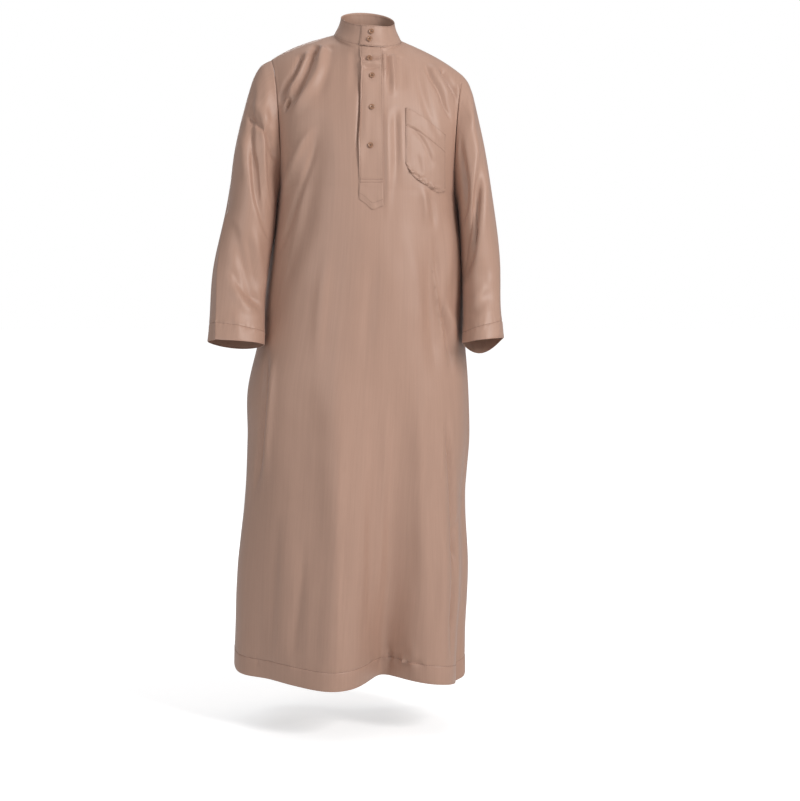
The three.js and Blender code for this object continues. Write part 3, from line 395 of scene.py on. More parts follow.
def smooth_line(path, parts=6):
    """A curve through the points of a path, with its share of length at each point."""
    p = np.array(path, float)
    q = np.vstack([2 * p[0] - p[1], p, 2 * p[-1] - p[-2]])
    made = []
    for i in range(len(p) - 1):
        a, b, c, d = q[i : i + 4]
        for t in np.arange(parts) / parts:
            made.append(0.5 * (2 * b + (c - a) * t + (2 * a - 5 * b + 4 * c - d) * t**2
                               + (3 * b - a - 3 * c + d) * t**3))
    made.append(p[-1])
    line = np.array(made)
    run = np.concatenate([[0], np.cumsum(np.linalg.norm(np.diff(line, axis=0), axis=1))])
    return line, run / run[-1]


def crease_height(creases, x, z, rounding=2):
    """How far the creases move the cloth out, seen from the front or back. Rounding 1 is a pressed edge."""
    total = np.zeros(x.shape)
    for height, left, right, fade_in, fade_out, path in creases:
        line, shares = smooth_line(path)
        reach = 3 * max(left, right)
        near = ((x > line[:, 0].min() - reach) & (x < line[:, 0].max() + reach)
                & (z > line[:, 1].min() - reach) & (z < line[:, 1].max() + reach))
        if not near.any():
            continue
        px, pz = x[near], z[near]
        best = np.full(px.shape, 1e18)
        aside, share = np.zeros(px.shape), np.zeros(px.shape)
        for i in range(len(line) - 1):
            run = line[i + 1] - line[i]
            t = np.clip(((px - line[i, 0]) * run[0] + (pz - line[i, 1]) * run[1]) / (run @ run), 0, 1)
            dx, dz = px - line[i, 0] - t * run[0], pz - line[i, 1] - t * run[1]
            away = dx * dx + dz * dz
            closer = away < best
            best = np.where(closer, away, best)
            side = np.sign(dz * run[0] - dx * run[1])
            aside = np.where(closer, side * np.sqrt(away), aside)
            share = np.where(closer, shares[i] + t * (shares[i + 1] - shares[i]), share)
        width = np.where(aside < 0, left, right)  # the lines run down, so minus is the viewer's left
        fade = smooth(0, fade_in, share) * smooth(0, fade_out, 1 - share)
        total[near] += height * np.exp(-(np.abs(aside / width) ** rounding)) * fade
    return total


# ------------------------------------------------------------------ body panels
def upper_edge(face, across):
    """A panel's upper edge, from shoulder tip to neck point, round the neck, and out again."""
    side, share = np.sign(across), np.abs(across)
    turn = np.clip(share / NECK_ACROSS, 0, 1) ** NECK_SPREAD * math.pi / 2
    fall = np.cos(turn)
    x0, y0, z0 = NECK_CENTRE[face]
    y1, z1 = NECK_SIDE
    neck_x = x0 * fall + side * NECK_HALF_WIDTH * np.sin(turn)
    neck = points_of(neck_x, y1 + (y0 - y1) * fall, z1 + (z0 - z1) * fall)
    out = (share - NECK_ACROSS) / (1 - NECK_ACROSS)
    run = (SHOULDER_HALF_WIDTH - NECK_HALF_WIDTH) * out
    shoulder_z = z1 - SHOULDER_SLOPE * run - SHOULDER_FALL * out**3
    shoulder = points_of(side * (NECK_HALF_WIDTH + run), y1 + SHOULDER_BACK * out, shoulder_z)
    return np.where((share <= NECK_ACROSS)[..., None], neck, shoulder)


CORNER_SPREAD = 0.1  # across a panel
CORNER_FROM = 1.75  # the corners at the neck show from here up


def soft_upper_edge(face, across):
    """The upper edge with its corners at the neck rounded off, which leads the cloth below it."""
    side, share = np.sign(across), np.abs(across)
    reach = CORNER_SPREAD * smooth(0, NECK_ACROSS, share) * (1 - smooth(1 - NECK_ACROSS, 1, share))
    return np.mean([upper_edge(face, side * (share + k * reach)) for k in (-1, -0.5, 0, 0.5, 1)], axis=0)


def section_point(face, across, z):
    """A level section of the body."""
    section = read(SECTIONS, "z", z)
    turn = np.abs(across) * math.pi / 2
    swell = 1 + SECTION_SQUARENESS * np.sin(2 * turn) ** 2
    seam_x = np.where(across < 0, section["right"], section["left"])
    depth = section["front" if face == FRONT else "back"] - section["seam"]
    x = section["middle"] + (seam_x - section["middle"]) * np.sin(turn) * swell
    return points_of(x, section["seam"] + depth * np.cos(turn) * swell, z)


def panel_form(face, across, up):
    """A panel's smooth form: up runs from the hem (0) past the underarm (1) to the upper edge (2)."""
    across, up = np.broadcast_arrays(np.asarray(across, float), np.asarray(up, float))
    hem = -LENGTH + read(HEM[face], "across", across)["rise"]
    skirt = section_point(face, across, hem + (UNDERARM_Z - hem) * np.clip(up, 0, 1))
    low = section_point(face, across, np.full(across.shape, float(UNDERARM_Z)))
    at_edge = smooth(CORNER_FROM, 2, up)[..., None]
    top = soft_upper_edge(face, across) * (1 - at_edge) + upper_edge(face, across) * at_edge
    drape = read(DRAPE[face], "across", np.abs(across))
    side = np.sign(across)
    first = low + points_of(side * drape["inX"], drape["inY"], drape["inZ"])
    second = points_of(top[..., 0] + side * drape["outX"], drape["highY"], drape["highZ"])
    t = np.clip(up - 1, 0, 1)[..., None]
    chest = low * (1 - t) ** 3 + 3 * first * t * (1 - t) ** 2 + 3 * second * t**2 * (1 - t) + top * t**3
    return np.where((up <= 1)[..., None], skirt, chest)


def fold_height(folds, across, z):
    """How far the large folds move a panel out."""
    girth = across * QUARTER_GIRTH
    total = np.zeros(np.broadcast(across, z).shape)
    for i in range(len(folds["topG"])):
        f = {name: column[i] for name, column in folds.items()}
        share = np.clip((f["topZ"] - z) / (f["topZ"] - f["lowZ"]), 0, 1)
        middle = f["topG"] + (f["lowG"] - f["topG"]) * share + f["bow"] * np.sin(math.pi * share)
        fade = share**1.7 if f["open"] else np.sin(math.pi * share) ** 0.8
        total += f["depth"] * bump(girth, middle, f["width"]) * fade
    return total


EASE, EASE_PASSES = 0.7, 60
EASE_REACH = 0.16  # across a panel
EASE_FROM, EASE_TO = (1.1, 1.45), (1.93, 1.995)  # up a panel, where it comes in and goes out


def eased(form, across, up):
    """Lets the cloth below the neck's corners even out, as hanging cloth does."""
    form = form.copy()
    loose = EASE * smooth(*EASE_FROM, up) * (1 - smooth(*EASE_TO, up))
    loose *= bump(np.abs(across), NECK_ACROSS, EASE_REACH)
    for _ in range(EASE_PASSES):
        middle = form[:, 1:-1]
        form[:, 1:-1] = middle + loose[:, 1:-1, None] * ((form[:, 2:] + form[:, :-2]) / 2 - middle)
    return form


HEM_BAND = 38  # the hem's stitch line above its edge
CUFF_BAND = 40
TURNED_STEP = 0.5  # how much a turned-up band stands out
STITCH_GROOVE = (0.7, 1.8)  # size and reach, as in the next three
EDGE_ROLL = (0.8, 1.6)  # at a turned-up edge
SEAM_ROLL = (0.9, 2.2)  # at a seam
PUCKERS = (0.55, 11)  # along a stitch line
PUCKER_PITCH = 17
# the front hem's stitching draws the cloth in at one place: depth, its middle across, and its reach
HEM_PUCKER = (3.5, 75, 42)
HEM_PUCKER_PITCH = 13
# how far the body is pressed out beside the right and the left arm, at what height, and its reach
ARM_PRESS = ((6.0, -400, 96), (4.2, -378, 84))
ARM_PRESS_REACH = 22  # from the side seam
# the large folds fade out towards the side seams and the upper edge, the small creases closer to them
FOLDS_SIDE, FOLDS_TOP = (0.86, 1), (1.9, 2)
CALM_SIDE, CALM_TOP = (0, 14), (1.982, 2)
FACING = (0.1, 0.5)  # a crease fades in as the cloth comes to face its viewer
# the soft unevenness of hanging cloth: height, stretch, pitch and seed
UNEVEN = ((0.9, 0.3, 90, 3), (0.22, 0.45, 34, 8))


def turned_up(from_edge, band, places, seed):
    """A turned-up band: thicker below its stitch line, a groove along it, and small puckers."""
    step = TURNED_STEP * (1 - smooth(band - 1.5, band + 1.5, from_edge))
    groove = STITCH_GROOVE[0] * bump(from_edge, band, STITCH_GROOVE[1])
    pucker = waves(places, from_edge * 0.3, seed, PUCKER_PITCH)
    pucker *= PUCKERS[0] * bump(from_edge, band, PUCKERS[1])
    return step - groove + pucker - EDGE_ROLL[0] * bump(from_edge, 0, EDGE_ROLL[1])


def panel(face, across, up):
    """A panel's outer surface with all its folds."""
    across, up = np.broadcast_arrays(np.asarray(across, float), np.asarray(up, float))
    form = eased(panel_form(face, across, up), across, up)
    fade = (1 - smooth(*FOLDS_SIDE, np.abs(across))) * (1 - smooth(*FOLDS_TOP, up))
    folds = fold_height(FOLDS[face], across, form[..., 2]) * fade
    points = form + normals_of(form, -face) * folds[..., None]
    opening = np.where(across < 0, *SLIT_OPENING[face])
    slit = 1 - smooth(-LENGTH, -LENGTH + SLIT_HEIGHT, form[..., 2])
    points[..., 1] += face * opening * slit * smooth(SLIT_SPREAD, 1, np.abs(across))
    points = stance(points)
    normals = normals_of(points, -face)
    x, z = points[..., 0], points[..., 2]
    seen = smooth(*FACING, normals[..., 1] * face)
    from_side = (1 - np.abs(across)) * QUARTER_GIRTH
    calm = smooth(*CALM_SIDE, from_side) * (1 - smooth(*CALM_TOP, up))
    height = crease_height(CREASES[face], x, z) * seen * calm
    for size, stretch, pitch, seed in UNEVEN:
        height += size * waves(x, z * stretch, seed + face, pitch) * calm
    hem = -LENGTH + read(HEM[face], "across", across)["rise"]
    from_hem = np.clip(up, 0, 1) * (UNDERARM_Z - hem)
    height += np.where(up < 1, turned_up(from_hem, HEM_BAND, across * QUARTER_GIRTH, 21 + face), 0)
    if face == FRONT:
        depth, middle, reach = HEM_PUCKER
        drawn = waves(x, z * 0.7, 31, HEM_PUCKER_PITCH) * bump(from_hem, HEM_BAND, HEM_PUCKER_PITCH)
        height += depth * drawn * bump(x, middle, reach)
    most, middle, reach = (np.where(across < 0, *pair) for pair in zip(*ARM_PRESS))
    height += most * bump(z, middle, reach) * bump(from_side, 0, ARM_PRESS_REACH)
    height -= SEAM_ROLL[0] * bump(from_side, 0, SEAM_ROLL[1])
    points = points + normals * height[..., None]
    points[..., 1] += face * SEAM_GAP / 2 * (from_side < 1e-6)
    return points


def spread(low, high, pitch, extra=()):
    """Evenly spaced places, with extra ones where a seam or a stitch line needs them."""
    even = np.linspace(low, high, int(round((high - low) / pitch)) + 1)
    extra = np.array(sorted(extra))
    keep = [e for e in even if not len(extra) or np.abs(extra - e).min() > 0.45 * pitch]
    return np.unique(np.concatenate([keep, extra, [low, high]]))


# how closely the points of a panel lie, in millimetres
SIDE_PITCH, MIDDLE_PITCH, SKIRT_PITCH, CHEST_PITCH = 4.3, 2.6, 6.4, 3.0
EDGE_STEPS = np.array([0, 1.2, 2.6, 4.6, 7.4])
SIDE_EDGES = 1 - EDGE_STEPS / QUARTER_GIRTH
ACROSS = np.concatenate([
    spread(-1, -NECK_ACROSS, SIDE_PITCH / QUARTER_GIRTH, -SIDE_EDGES)[:-1],
    spread(-NECK_ACROSS, NECK_ACROSS, MIDDLE_PITCH / QUARTER_GIRTH),
    spread(NECK_ACROSS, 1, SIDE_PITCH / QUARTER_GIRTH, SIDE_EDGES)[1:],
])
BODY_RUN = UNDERARM_Z + LENGTH
STITCH_STEPS = np.array([-4, -2, -0.8, 0, 0.8, 2, 4])
HEM_STEPS = np.concatenate([EDGE_STEPS, HEM_BAND + STITCH_STEPS])
UP = np.concatenate([
    spread(0, 1, SKIRT_PITCH / BODY_RUN, HEM_STEPS / BODY_RUN)[:-1],
    spread(1, 2, CHEST_PITCH / CHEST_RUN, 2 - EDGE_STEPS / CHEST_RUN),
])


# ------------------------------------------------------------------ meshes
FAR_OFF = 900  # clear of the part


def link(name, mesh):
    """A new object of a mesh, in the scene."""
    made = bpy.data.objects.new(name, mesh)
    bpy.context.scene.collection.objects.link(made)
    return made


def mesh_from(name, points, faces, uv=None, sharp=60):
    """A smooth-shaded mesh in metres, turned so that its faces point outwards."""
    points = np.asarray(points, float) / MM_PER_METRE
    faces = np.asarray(faces, np.int32)
    a, b, c, d = (points[faces[:, i]] for i in range(4))
    volume = np.einsum("ij,ij->i", a, np.cross(b, c)).sum() + np.einsum("ij,ij->i", a, np.cross(c, d)).sum()
    if volume < 0:
        faces = faces[:, ::-1]
        uv = None if uv is None else uv[:, ::-1]
    mesh = bpy.data.meshes.new(name)
    mesh.vertices.add(len(points))
    mesh.vertices.foreach_set("co", points.astype(np.float32).ravel())
    mesh.loops.add(faces.size)
    mesh.loops.foreach_set("vertex_index", faces.ravel())
    mesh.polygons.add(len(faces))
    mesh.polygons.foreach_set("loop_start", np.arange(0, faces.size, 4, dtype=np.int32))
    mesh.update(calc_edges=True)
    mesh.polygons.foreach_set("use_smooth", np.ones(len(faces), bool))
    if uv is not None:
        layer = mesh.uv_layers.new(name="cut")
        layer.data.foreach_set("uv", uv.astype(np.float32).ravel())
    if sharp:
        mesh.set_sharp_from_angle(angle=math.radians(sharp))
    mesh.validate()
    return link(name, mesh)


def quads(count_r, count_c, wraps=False):
    """The faces of a grid of points, row by row."""
    r, c = np.indices((count_r - 1, count_c if wraps else count_c - 1)).reshape(2, -1)
    n = (c + 1) % count_c
    return np.stack([r * count_c + c, r * count_c + n, (r + 1) * count_c + n, (r + 1) * count_c + c], 1)


def shell(name, outer, normals, thickness=CLOTH, wraps=False):
    """A thin closed piece of cloth: a grid of points, the same moved in, and the rims between them."""
    count_r, count_c = outer.shape[:2]
    total = count_r * count_c
    skin = quads(count_r, count_c, wraps)
    r, c = np.divmod(skin[:, 0], count_c)
    step_r = np.linalg.norm(np.diff(outer, axis=0), axis=-1)
    along_r = np.concatenate([np.zeros((1, count_c)), np.cumsum(step_r, 0)])
    step_c = np.linalg.norm(outer - np.roll(outer, 1, 1), axis=-1)
    along_c = np.cumsum(step_c.mean(0)) - step_c.mean(0)[0]
    girth = np.append(along_c, along_c[-1] + step_c.mean(0)[0])
    v = along_r.mean(1)
    corners = ((girth[c], v[r]), (girth[c + 1], v[r]), (girth[c + 1], v[r + 1]), (girth[c], v[r + 1]))
    skin_uv = np.array(corners).transpose(2, 0, 1) / MM_PER_METRE
    c0 = np.arange(count_c if wraps else count_c - 1)
    n0 = (c0 + 1) % count_c
    top = (count_r - 1) * count_c
    rims = [
        np.stack([total + c0, total + n0, n0, c0], 1),
        np.stack([top + c0, top + n0, total + top + n0, total + top + c0], 1),
    ]
    if not wraps:
        r0 = np.arange(count_r - 1) * count_c
        rims.append(np.stack([r0, r0 + count_c, total + r0 + count_c, total + r0], 1))
        r1 = r0 + count_c - 1
        rims.append(np.stack([total + r1, total + r1 + count_c, r1 + count_c, r1], 1))
    faces = np.vstack([skin, (skin + total)[:, ::-1], *rims])
    rim_uv = np.zeros((sum(len(x) for x in rims), 4, 2))
    uv = np.concatenate([skin_uv, skin_uv[:, ::-1], rim_uv])
    inner = outer - normals * thickness
    return mesh_from(name, np.vstack([outer.reshape(-1, 3), inner.reshape(-1, 3)]), faces, uv)


def tree_of(grid):
    """A search tree of a grid of points in millimetres."""
    return BVHTree.FromPolygons(grid.reshape(-1, 3).tolist(), quads(*grid.shape[:2]).tolist())


def seen_from(tree, face, x, z):
    """The points of a surface that show at x and z from the front or back."""
    found = []
    for px, pz in zip(np.ravel(x), np.ravel(z)):
        hit = tree.ray_cast(Vector((px, face * FAR_OFF, pz)), Vector((0, -face, 0)))[0]
        if hit is None:
            raise RuntimeError(f"no cloth is seen at {px:.0f}, {pz:.0f}")
        found.append(hit[:])
    return np.array(found).reshape(*np.shape(x), 3)


# ------------------------------------------------------------------ shared shader effects
def group(name, inputs, outputs):
    """An empty shader group with named inputs (name, kind, default) and outputs (name, kind)."""
    made = bpy.data.node_groups.new(name, "ShaderNodeTree")
    for label, kind, value in inputs:
        socket = made.interface.new_socket(label, in_out="INPUT", socket_type="NodeSocket" + kind)
        socket.default_value = value
    for label, kind in outputs:
        made.interface.new_socket(label, in_out="OUTPUT", socket_type="NodeSocket" + kind)
    return made, made.nodes.new("NodeGroupInput"), made.nodes.new("NodeGroupOutput")


def feed(tree, node, **sockets):
    """Links a node's named inputs to sockets, or sets them to values."""
    for label, value in sockets.items():
        socket = node.inputs[label.replace("_", " ")]
        if hasattr(value, "links"):
            tree.links.new(value, socket)
        else:
            socket.default_value = value
    return node


def maths(tree, operation, a, b=None):
    """A Math node fed by sockets or numbers. Returns its output socket."""
    node = tree.nodes.new("ShaderNodeMath")
    node.operation = operation
    for socket, value in zip(node.inputs, (a, b)):
        if value is None:
            continue
        if isinstance(value, (int, float)):
            socket.default_value = value
        else:
            tree.links.new(value, socket)
    return node.outputs[0]


def noise(tree, vector, scale, detail=2.0, roughness=0.5):
    """An uneven pattern, as a share from 0 to 1."""
    node = tree.nodes.new("ShaderNodeTexNoise")
    feed(tree, node, Vector=vector, Scale=scale, Detail=detail, Roughness=roughness)
    return node.outputs["Fac"]


def stretched(tree, vector, x, y, z=1.0):
    """Places scaled by a number along each axis, so that a pattern on them is drawn out."""
    return feed(tree, tree.nodes.new("ShaderNodeMapping"), Vector=vector, Scale=(x, y, z)).outputs[0]


def scaled(tree, vector, scale):
    """Places or a colour times a socket's value."""
    node = tree.nodes.new("ShaderNodeVectorMath")
    node.operation = "SCALE"
    return feed(tree, node, Vector=vector, Scale=scale).outputs[0]


def make_satin_weave():
    """Fine threads both ways with uneven thicker ones, as a height and a brightness."""
    tree, ins, outs = group(
        "satin_weave",
        [("Cut", "Vector", (0, 0, 0)), ("Threads per metre", "Float", 1900.0), ("Slub", "Float", 0.5)],
        [("Height", "Float"), ("Shade", "Float")],
    )
    threads_along = scaled(tree, ins.outputs["Cut"], ins.outputs["Threads per metre"])
    parts = feed(tree, tree.nodes.new("ShaderNodeSeparateXYZ"), Vector=threads_along)
    warp = maths(tree, "SINE", maths(tree, "MULTIPLY", parts.outputs["X"], 2 * math.pi))
    weft = maths(tree, "SINE", maths(tree, "MULTIPLY", parts.outputs["Y"], math.pi))
    threads = maths(tree, "MULTIPLY_ADD", warp, 0.35)
    tree.links.new(maths(tree, "MULTIPLY", weft, 0.15), threads.node.inputs[2])
    slub_down = noise(tree, stretched(tree, ins.outputs["Cut"], 900, 14), 1.0, 3.0)
    slub_across = noise(tree, stretched(tree, ins.outputs["Cut"], 12, 700), 1.0, 2.0)
    slub = maths(tree, "MULTIPLY", maths(tree, "ADD", slub_down, slub_across), ins.outputs["Slub"])
    feed(tree, outs, Height=maths(tree, "ADD", threads, slub), Shade=slub_down)
    return tree


def make_cloth_shade():
    """Soft changes of shade over a piece, and faint handling marks."""
    tree, ins, outs = group(
        "cloth_shade",
        [("Place", "Vector", (0, 0, 0)), ("Cut", "Vector", (0, 0, 0)), ("Size", "Float", 5.0),
         ("Amount", "Float", 0.14), ("Streaks", "Float", 0.16)],
        [("Shade", "Float"), ("Wear", "Float")],
    )
    broad = noise(tree, stretched(tree, ins.outputs["Place"], 1, 1, 0.35), ins.outputs["Size"], 3.0)
    small = noise(tree, ins.outputs["Place"], 60.0, 3.0)
    shade = maths(tree, "MULTIPLY", maths(tree, "SUBTRACT", broad, 0.5), ins.outputs["Amount"])
    # long uneven yarns run down the cloth
    yarn = noise(tree, stretched(tree, ins.outputs["Cut"], 170, 3.2), 1.0, 3.0, 0.62)
    streak = maths(tree, "MULTIPLY", maths(tree, "SUBTRACT", yarn, 0.5), ins.outputs["Streaks"])
    wear = maths(tree, "ADD", maths(tree, "MULTIPLY", small, 0.5), maths(tree, "MULTIPLY", yarn, 0.5))
    feed(tree, outs, Shade=maths(tree, "ADD", maths(tree, "ADD", shade, streak), 1.0), Wear=wear)
    return tree


def make_horn():
    """Cloudy streaks of polished horn."""
    tree, ins, outs = group(
        "horn_clouds",
        [("Place", "Vector", (0, 0, 0)), ("Size", "Float", 260.0)],
        [("Cloud", "Float"), ("Grain", "Float")],
    )
    cloud = noise(tree, stretched(tree, ins.outputs["Place"], 1, 1, 2.4), ins.outputs["Size"], 4.0, 0.6)
    grain = noise(tree, ins.outputs["Place"], 1400.0, 2.0)
    feed(tree, outs, Cloud=cloud, Grain=grain)
    return tree


def make_twist():
    """The ply of a sewing thread, as a height."""
    tree, ins, outs = group(
        "thread_twist",
        [("Place", "Vector", (0, 0, 0)), ("Plies per metre", "Float", 3200.0)],
        [("Height", "Float"), ("Shade", "Float")],
    )
    ply = noise(tree, ins.outputs["Place"], ins.outputs["Plies per metre"], 2.0)
    tint = noise(tree, ins.outputs["Place"], 45.0, 1.0)
    feed(tree, outs, Height=ply, Shade=tint)
    return tree


SATIN_WEAVE = make_satin_weave()
CLOTH_SHADE = make_cloth_shade()
HORN_CLOUDS = make_horn()
THREAD_TWIST = make_twist()


def new_material(name):
    """A material, its node tree, and its shader."""
    made = bpy.data.materials.new(name)
    made.use_nodes = True
    tree = made.node_tree
    return made, tree, tree.nodes["Principled BSDF"]


def use_group(tree, which, **values):
    """Places a shared effect in a material with its own values. Returns its outputs."""
    node = tree.nodes.new("ShaderNodeGroup")
    node.node_tree = which
    return feed(tree, node, **values).outputs


def mixed(tree, share, dark, light):
    """A colour between two others."""
    node = tree.nodes.new("ShaderNodeMix")
    node.data_type = "RGBA"
    tree.links.new(share, node.inputs["Factor"])
    for label, colour in (("A", dark), ("B", light)):
        socket = [s for s in node.inputs if s.name == label and s.type == "RGBA"][0]
        if isinstance(colour, tuple):
            socket.default_value = (*colour, 1)
        else:
            tree.links.new(colour, socket)
    return [s for s in node.outputs if s.type == "RGBA"][0]


def ranged(tree, value, low, high, **ends):
    """A value from 0 to 1, or between other ends, brought between low and high."""
    node = tree.nodes.new("ShaderNodeMapRange")
    return feed(tree, node, Value=value, To_Min=low, To_Max=high, **ends).outputs[0]


def bumped(tree, shader, height, strength, distance):
    """Raises a shader's surface by a height pattern."""
    node = tree.nodes.new("ShaderNodeBump")
    feed(tree, node, Strength=strength, Distance=distance, Height=height)
    feed(tree, shader, Normal=node.outputs[0])


def satin(name, dark, light, roughness, seed_shift):
    """Soft satin: a fine weave, a low sheen, and slow changes of shade."""
    made, tree, shader = new_material(name)
    cut = tree.nodes.new("ShaderNodeTexCoord")
    weave = use_group(tree, SATIN_WEAVE, Cut=cut.outputs["UV"])
    moved = tree.nodes.new("ShaderNodeMapping")
    feed(tree, moved, Vector=cut.outputs["Object"], Location=(seed_shift, 0, 0))
    shade = use_group(tree, CLOTH_SHADE, Place=moved.outputs[0], Cut=cut.outputs["UV"])
    base = mixed(tree, ranged(tree, weave["Shade"], 0.15, 0.85), dark, light)
    uneven = ranged(tree, shade["Wear"], roughness - 0.06, roughness + 0.07)
    feed(tree, shader, Base_Color=scaled(tree, base, shade["Shade"]), Roughness=uneven)
    feed(tree, shader, Specular_IOR_Level=0.42, Sheen_Weight=0.12, Sheen_Roughness=0.4, Anisotropic=0.25)
    bumped(tree, shader, weave["Height"], 0.12, 0.0001)
    return made


def thread(name, dark, light):
    """Twisted sewing thread."""
    made, tree, shader = new_material(name)
    place = tree.nodes.new("ShaderNodeTexCoord")
    twist = use_group(tree, THREAD_TWIST, Place=place.outputs["Object"])
    tint, uneven = mixed(tree, twist["Shade"], dark, light), ranged(tree, twist["Shade"], 0.5, 0.65)
    feed(tree, shader, Base_Color=tint, Roughness=uneven)
    bumped(tree, shader, twist["Height"], 0.4, 0.0002)
    return made


def horn(name, dark, light, roughness):
    """Polished horn with a thin clear coat."""
    made, tree, shader = new_material(name)
    place = tree.nodes.new("ShaderNodeTexCoord")
    clouds = use_group(tree, HORN_CLOUDS, Place=place.outputs["Object"])
    uneven = ranged(tree, clouds["Grain"], roughness - 0.05, roughness + 0.08)
    tint = mixed(tree, clouds["Cloud"], dark, light)
    feed(tree, shader, Base_Color=tint, Roughness=uneven, Coat_Weight=0.4)
    bumped(tree, shader, clouds["Grain"], 0.15, 0.0002)
    return made


SATIN = satin("dusty rose satin", (0.395, 0.24, 0.178), (0.475, 0.298, 0.225), 0.45, 0.0)
SATIN_TRIM = satin("dusty rose satin, doubled", (0.4, 0.245, 0.182), (0.48, 0.303, 0.23), 0.5, 3.7)
THREAD = thread("sewing thread", (0.13, 0.065, 0.045), (0.2, 0.105, 0.075))
BUTTON_THREAD = thread("button thread", (0.12, 0.07, 0.05), (0.2, 0.13, 0.09))
HORN = horn("amber horn", (0.16, 0.066, 0.034), (0.5, 0.28, 0.17), 0.25)


def finished(obj, material, nodes=()):
    """Gives a piece its finish and its place in the frame."""
    obj.data.materials.clear()
    obj.data.materials.append(material)
    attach(obj, "root")
    if nodes:
        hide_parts(*nodes)
    return obj


def cloth_piece(obj, material, node):
    """A finished sheet of cloth that stands for a node."""
    finished(obj, material, [node])


# ------------------------------------------------------------------ cloth pieces
across_grid, up_grid = np.meshgrid(ACROSS, UP)
panels = {}
for face, name in ((FRONT, "front"), (BACK, "back")):
    points = panel(face, across_grid, up_grid)
    panels[face] = points
    cloth_piece(shell("cloth_" + name, points, normals_of(points, -face)), SATIN, name)


# ------------------------------------------------------------------ sleeves
def sleeve_ring(table, side, along, turn):
    """Rings of a sleeve: ellipses between their outer and inner points, tipped up at the front."""
    ring = read(table, "along", along)
    outer = points_of(ring["outerX"], ring["y"], ring["outerZ"])
    middle = (outer + points_of(ring["innerX"], ring["y"], ring["innerZ"])) / 2
    outward = outer - middle
    lean = np.radians(ring["lean"])
    forward = points_of(0, -np.cos(lean), np.sin(lean)) * ring["half"][..., None]
    p = middle + outward * np.cos(turn)[..., None] + forward * np.sin(turn)[..., None]
    p[..., 2] -= ring["drop"] * np.maximum(0, -np.sin(turn)) ** 2
    return p * (side, 1, 1)


def sleeve_fold_height(folds, turn, along):
    """How far the large folds move a sleeve out."""
    degrees = np.degrees(turn)
    total = np.zeros(turn.shape)
    for i in range(len(folds["width"])):
        f = {name: column[i] for name, column in folds.items()}
        share = np.clip((along - f["fromAlong"]) / (f["toAlong"] - f["fromAlong"]), 0, 1)
        middle = f["fromTurn"] + (f["toTurn"] - f["fromTurn"]) * share
        away = (degrees - middle + 180) % 360 - 180
        total += f["depth"] * bump(away, 0, f["width"]) * np.sin(math.pi * share)
    return total


SLEEVE_TURNS = 168  # points round a sleeve
SLEEVE_RUN = 590
SLEEVE_PITCH = 3.9
SEAM_REACH = 0.3  # the share of a sleeve that eases from the armhole to its own rings
MM_A_DEGREE = 1.1  # round a sleeve
SLEEVE_FACING = (0.05, 0.45)
SLEEVE_UNEVEN, SLEEVE_UNEVEN_PITCH = 0.8, 80
CUFF_STEPS = np.concatenate([EDGE_STEPS, SLEEVE_RUN - EDGE_STEPS, SLEEVE_RUN - CUFF_BAND + STITCH_STEPS])
ALONG = spread(0, 1, SLEEVE_PITCH / SLEEVE_RUN, CUFF_STEPS / SLEEVE_RUN)


def sleeve(side):
    """A sleeve's outer surface with all its folds."""
    turns = np.arange(SLEEVE_TURNS) / SLEEVE_TURNS * 2 * math.pi
    half = turns / math.pi
    front_half = panel_form(FRONT, float(side), 2 - half)
    back_half = panel_form(BACK, float(side), np.maximum(half, 1))
    hole = np.where((half <= 1)[:, None], front_half, back_half)
    turn, along = np.meshgrid(turns, ALONG)
    table = SLEEVES[side]
    start = hole - sleeve_ring(table, side, np.zeros(len(turns)), turns)
    grid = sleeve_ring(table, side, along, turn) + start * (1 - smooth(0, SEAM_REACH, along))[..., None]
    grid += normals_of(grid, side, True) * sleeve_fold_height(SLEEVE_FOLDS[side], turn, along)[..., None]
    grid = stance(grid)
    normals = normals_of(grid, side, True)
    x, z = grid[..., 0], grid[..., 2]
    calm = smooth(0, 0.03, along)
    girth = np.degrees(turn) * MM_A_DEGREE
    height = waves(girth, z * 0.3, 40 + side, SLEEVE_UNEVEN_PITCH) * SLEEVE_UNEVEN * calm
    for face in (FRONT, BACK):
        seen = smooth(*SLEEVE_FACING, normals[..., 1] * face)
        height += crease_height(CREASES_SLEEVE[side, face], x, z) * seen * calm
    seen = smooth(*SLEEVE_FACING, normals[..., 1] * FRONT)
    height += crease_height(PRESSED_SLEEVE[side], x, z, rounding=1) * seen * calm
    height += turned_up((1 - along) * SLEEVE_RUN, CUFF_BAND, girth, 50 + side)
    height -= SEAM_ROLL[0] * bump(along * SLEEVE_RUN, 0, SEAM_ROLL[1])
    return grid + normals * height[..., None]


sleeves = {}
for side, name in ((-1, "right"), (1, "left")):
    points = sleeve(side)
    sleeves[side] = points
    normals = normals_of(points, side, True)
    cloth_piece(shell("cloth_sleeve_" + name, points, normals, wraps=True), SATIN, "sleeve_" + name)

# ------------------------------------------------------------------ placket
PLACKET_ENDS = rows("across z", (-0.085, -343), (-0.0425, -351), (0, -362), (0.0425, -359), (0.085, -354))
PLACKET_TOP = 4  # below the neckline
PLACKET_CLOTH = 0.8
PLACKET_LIFT = 1.8  # of its face over the front panel
PLACKET_LEAST = 1.0
PLACKET_DRAWN = (0.024, -105, 62)  # its buttoned edge drawn in: how far across, where, and its reach
PLACKET_GAPE = (5.6, 6)  # its buttoned edge standing off: how far, and how soon it ends
PLACKET_GAPE_LOW, PLACKET_GAPE_HIGH = (-320, -210), (-80, -46)
PLACKET_BULGES = ((-118, 24), (-190, 20))  # between buttons: height and reach
PLACKET_WRINKLES = ((0.8, -66, 5), (0.9, -46, 5))  # beside the top button: size, height and reach
BUTTON_HEIGHTS = (-54, -91, -156, -234)
PLACKET_CROSS_STITCHES = (-303, -309)
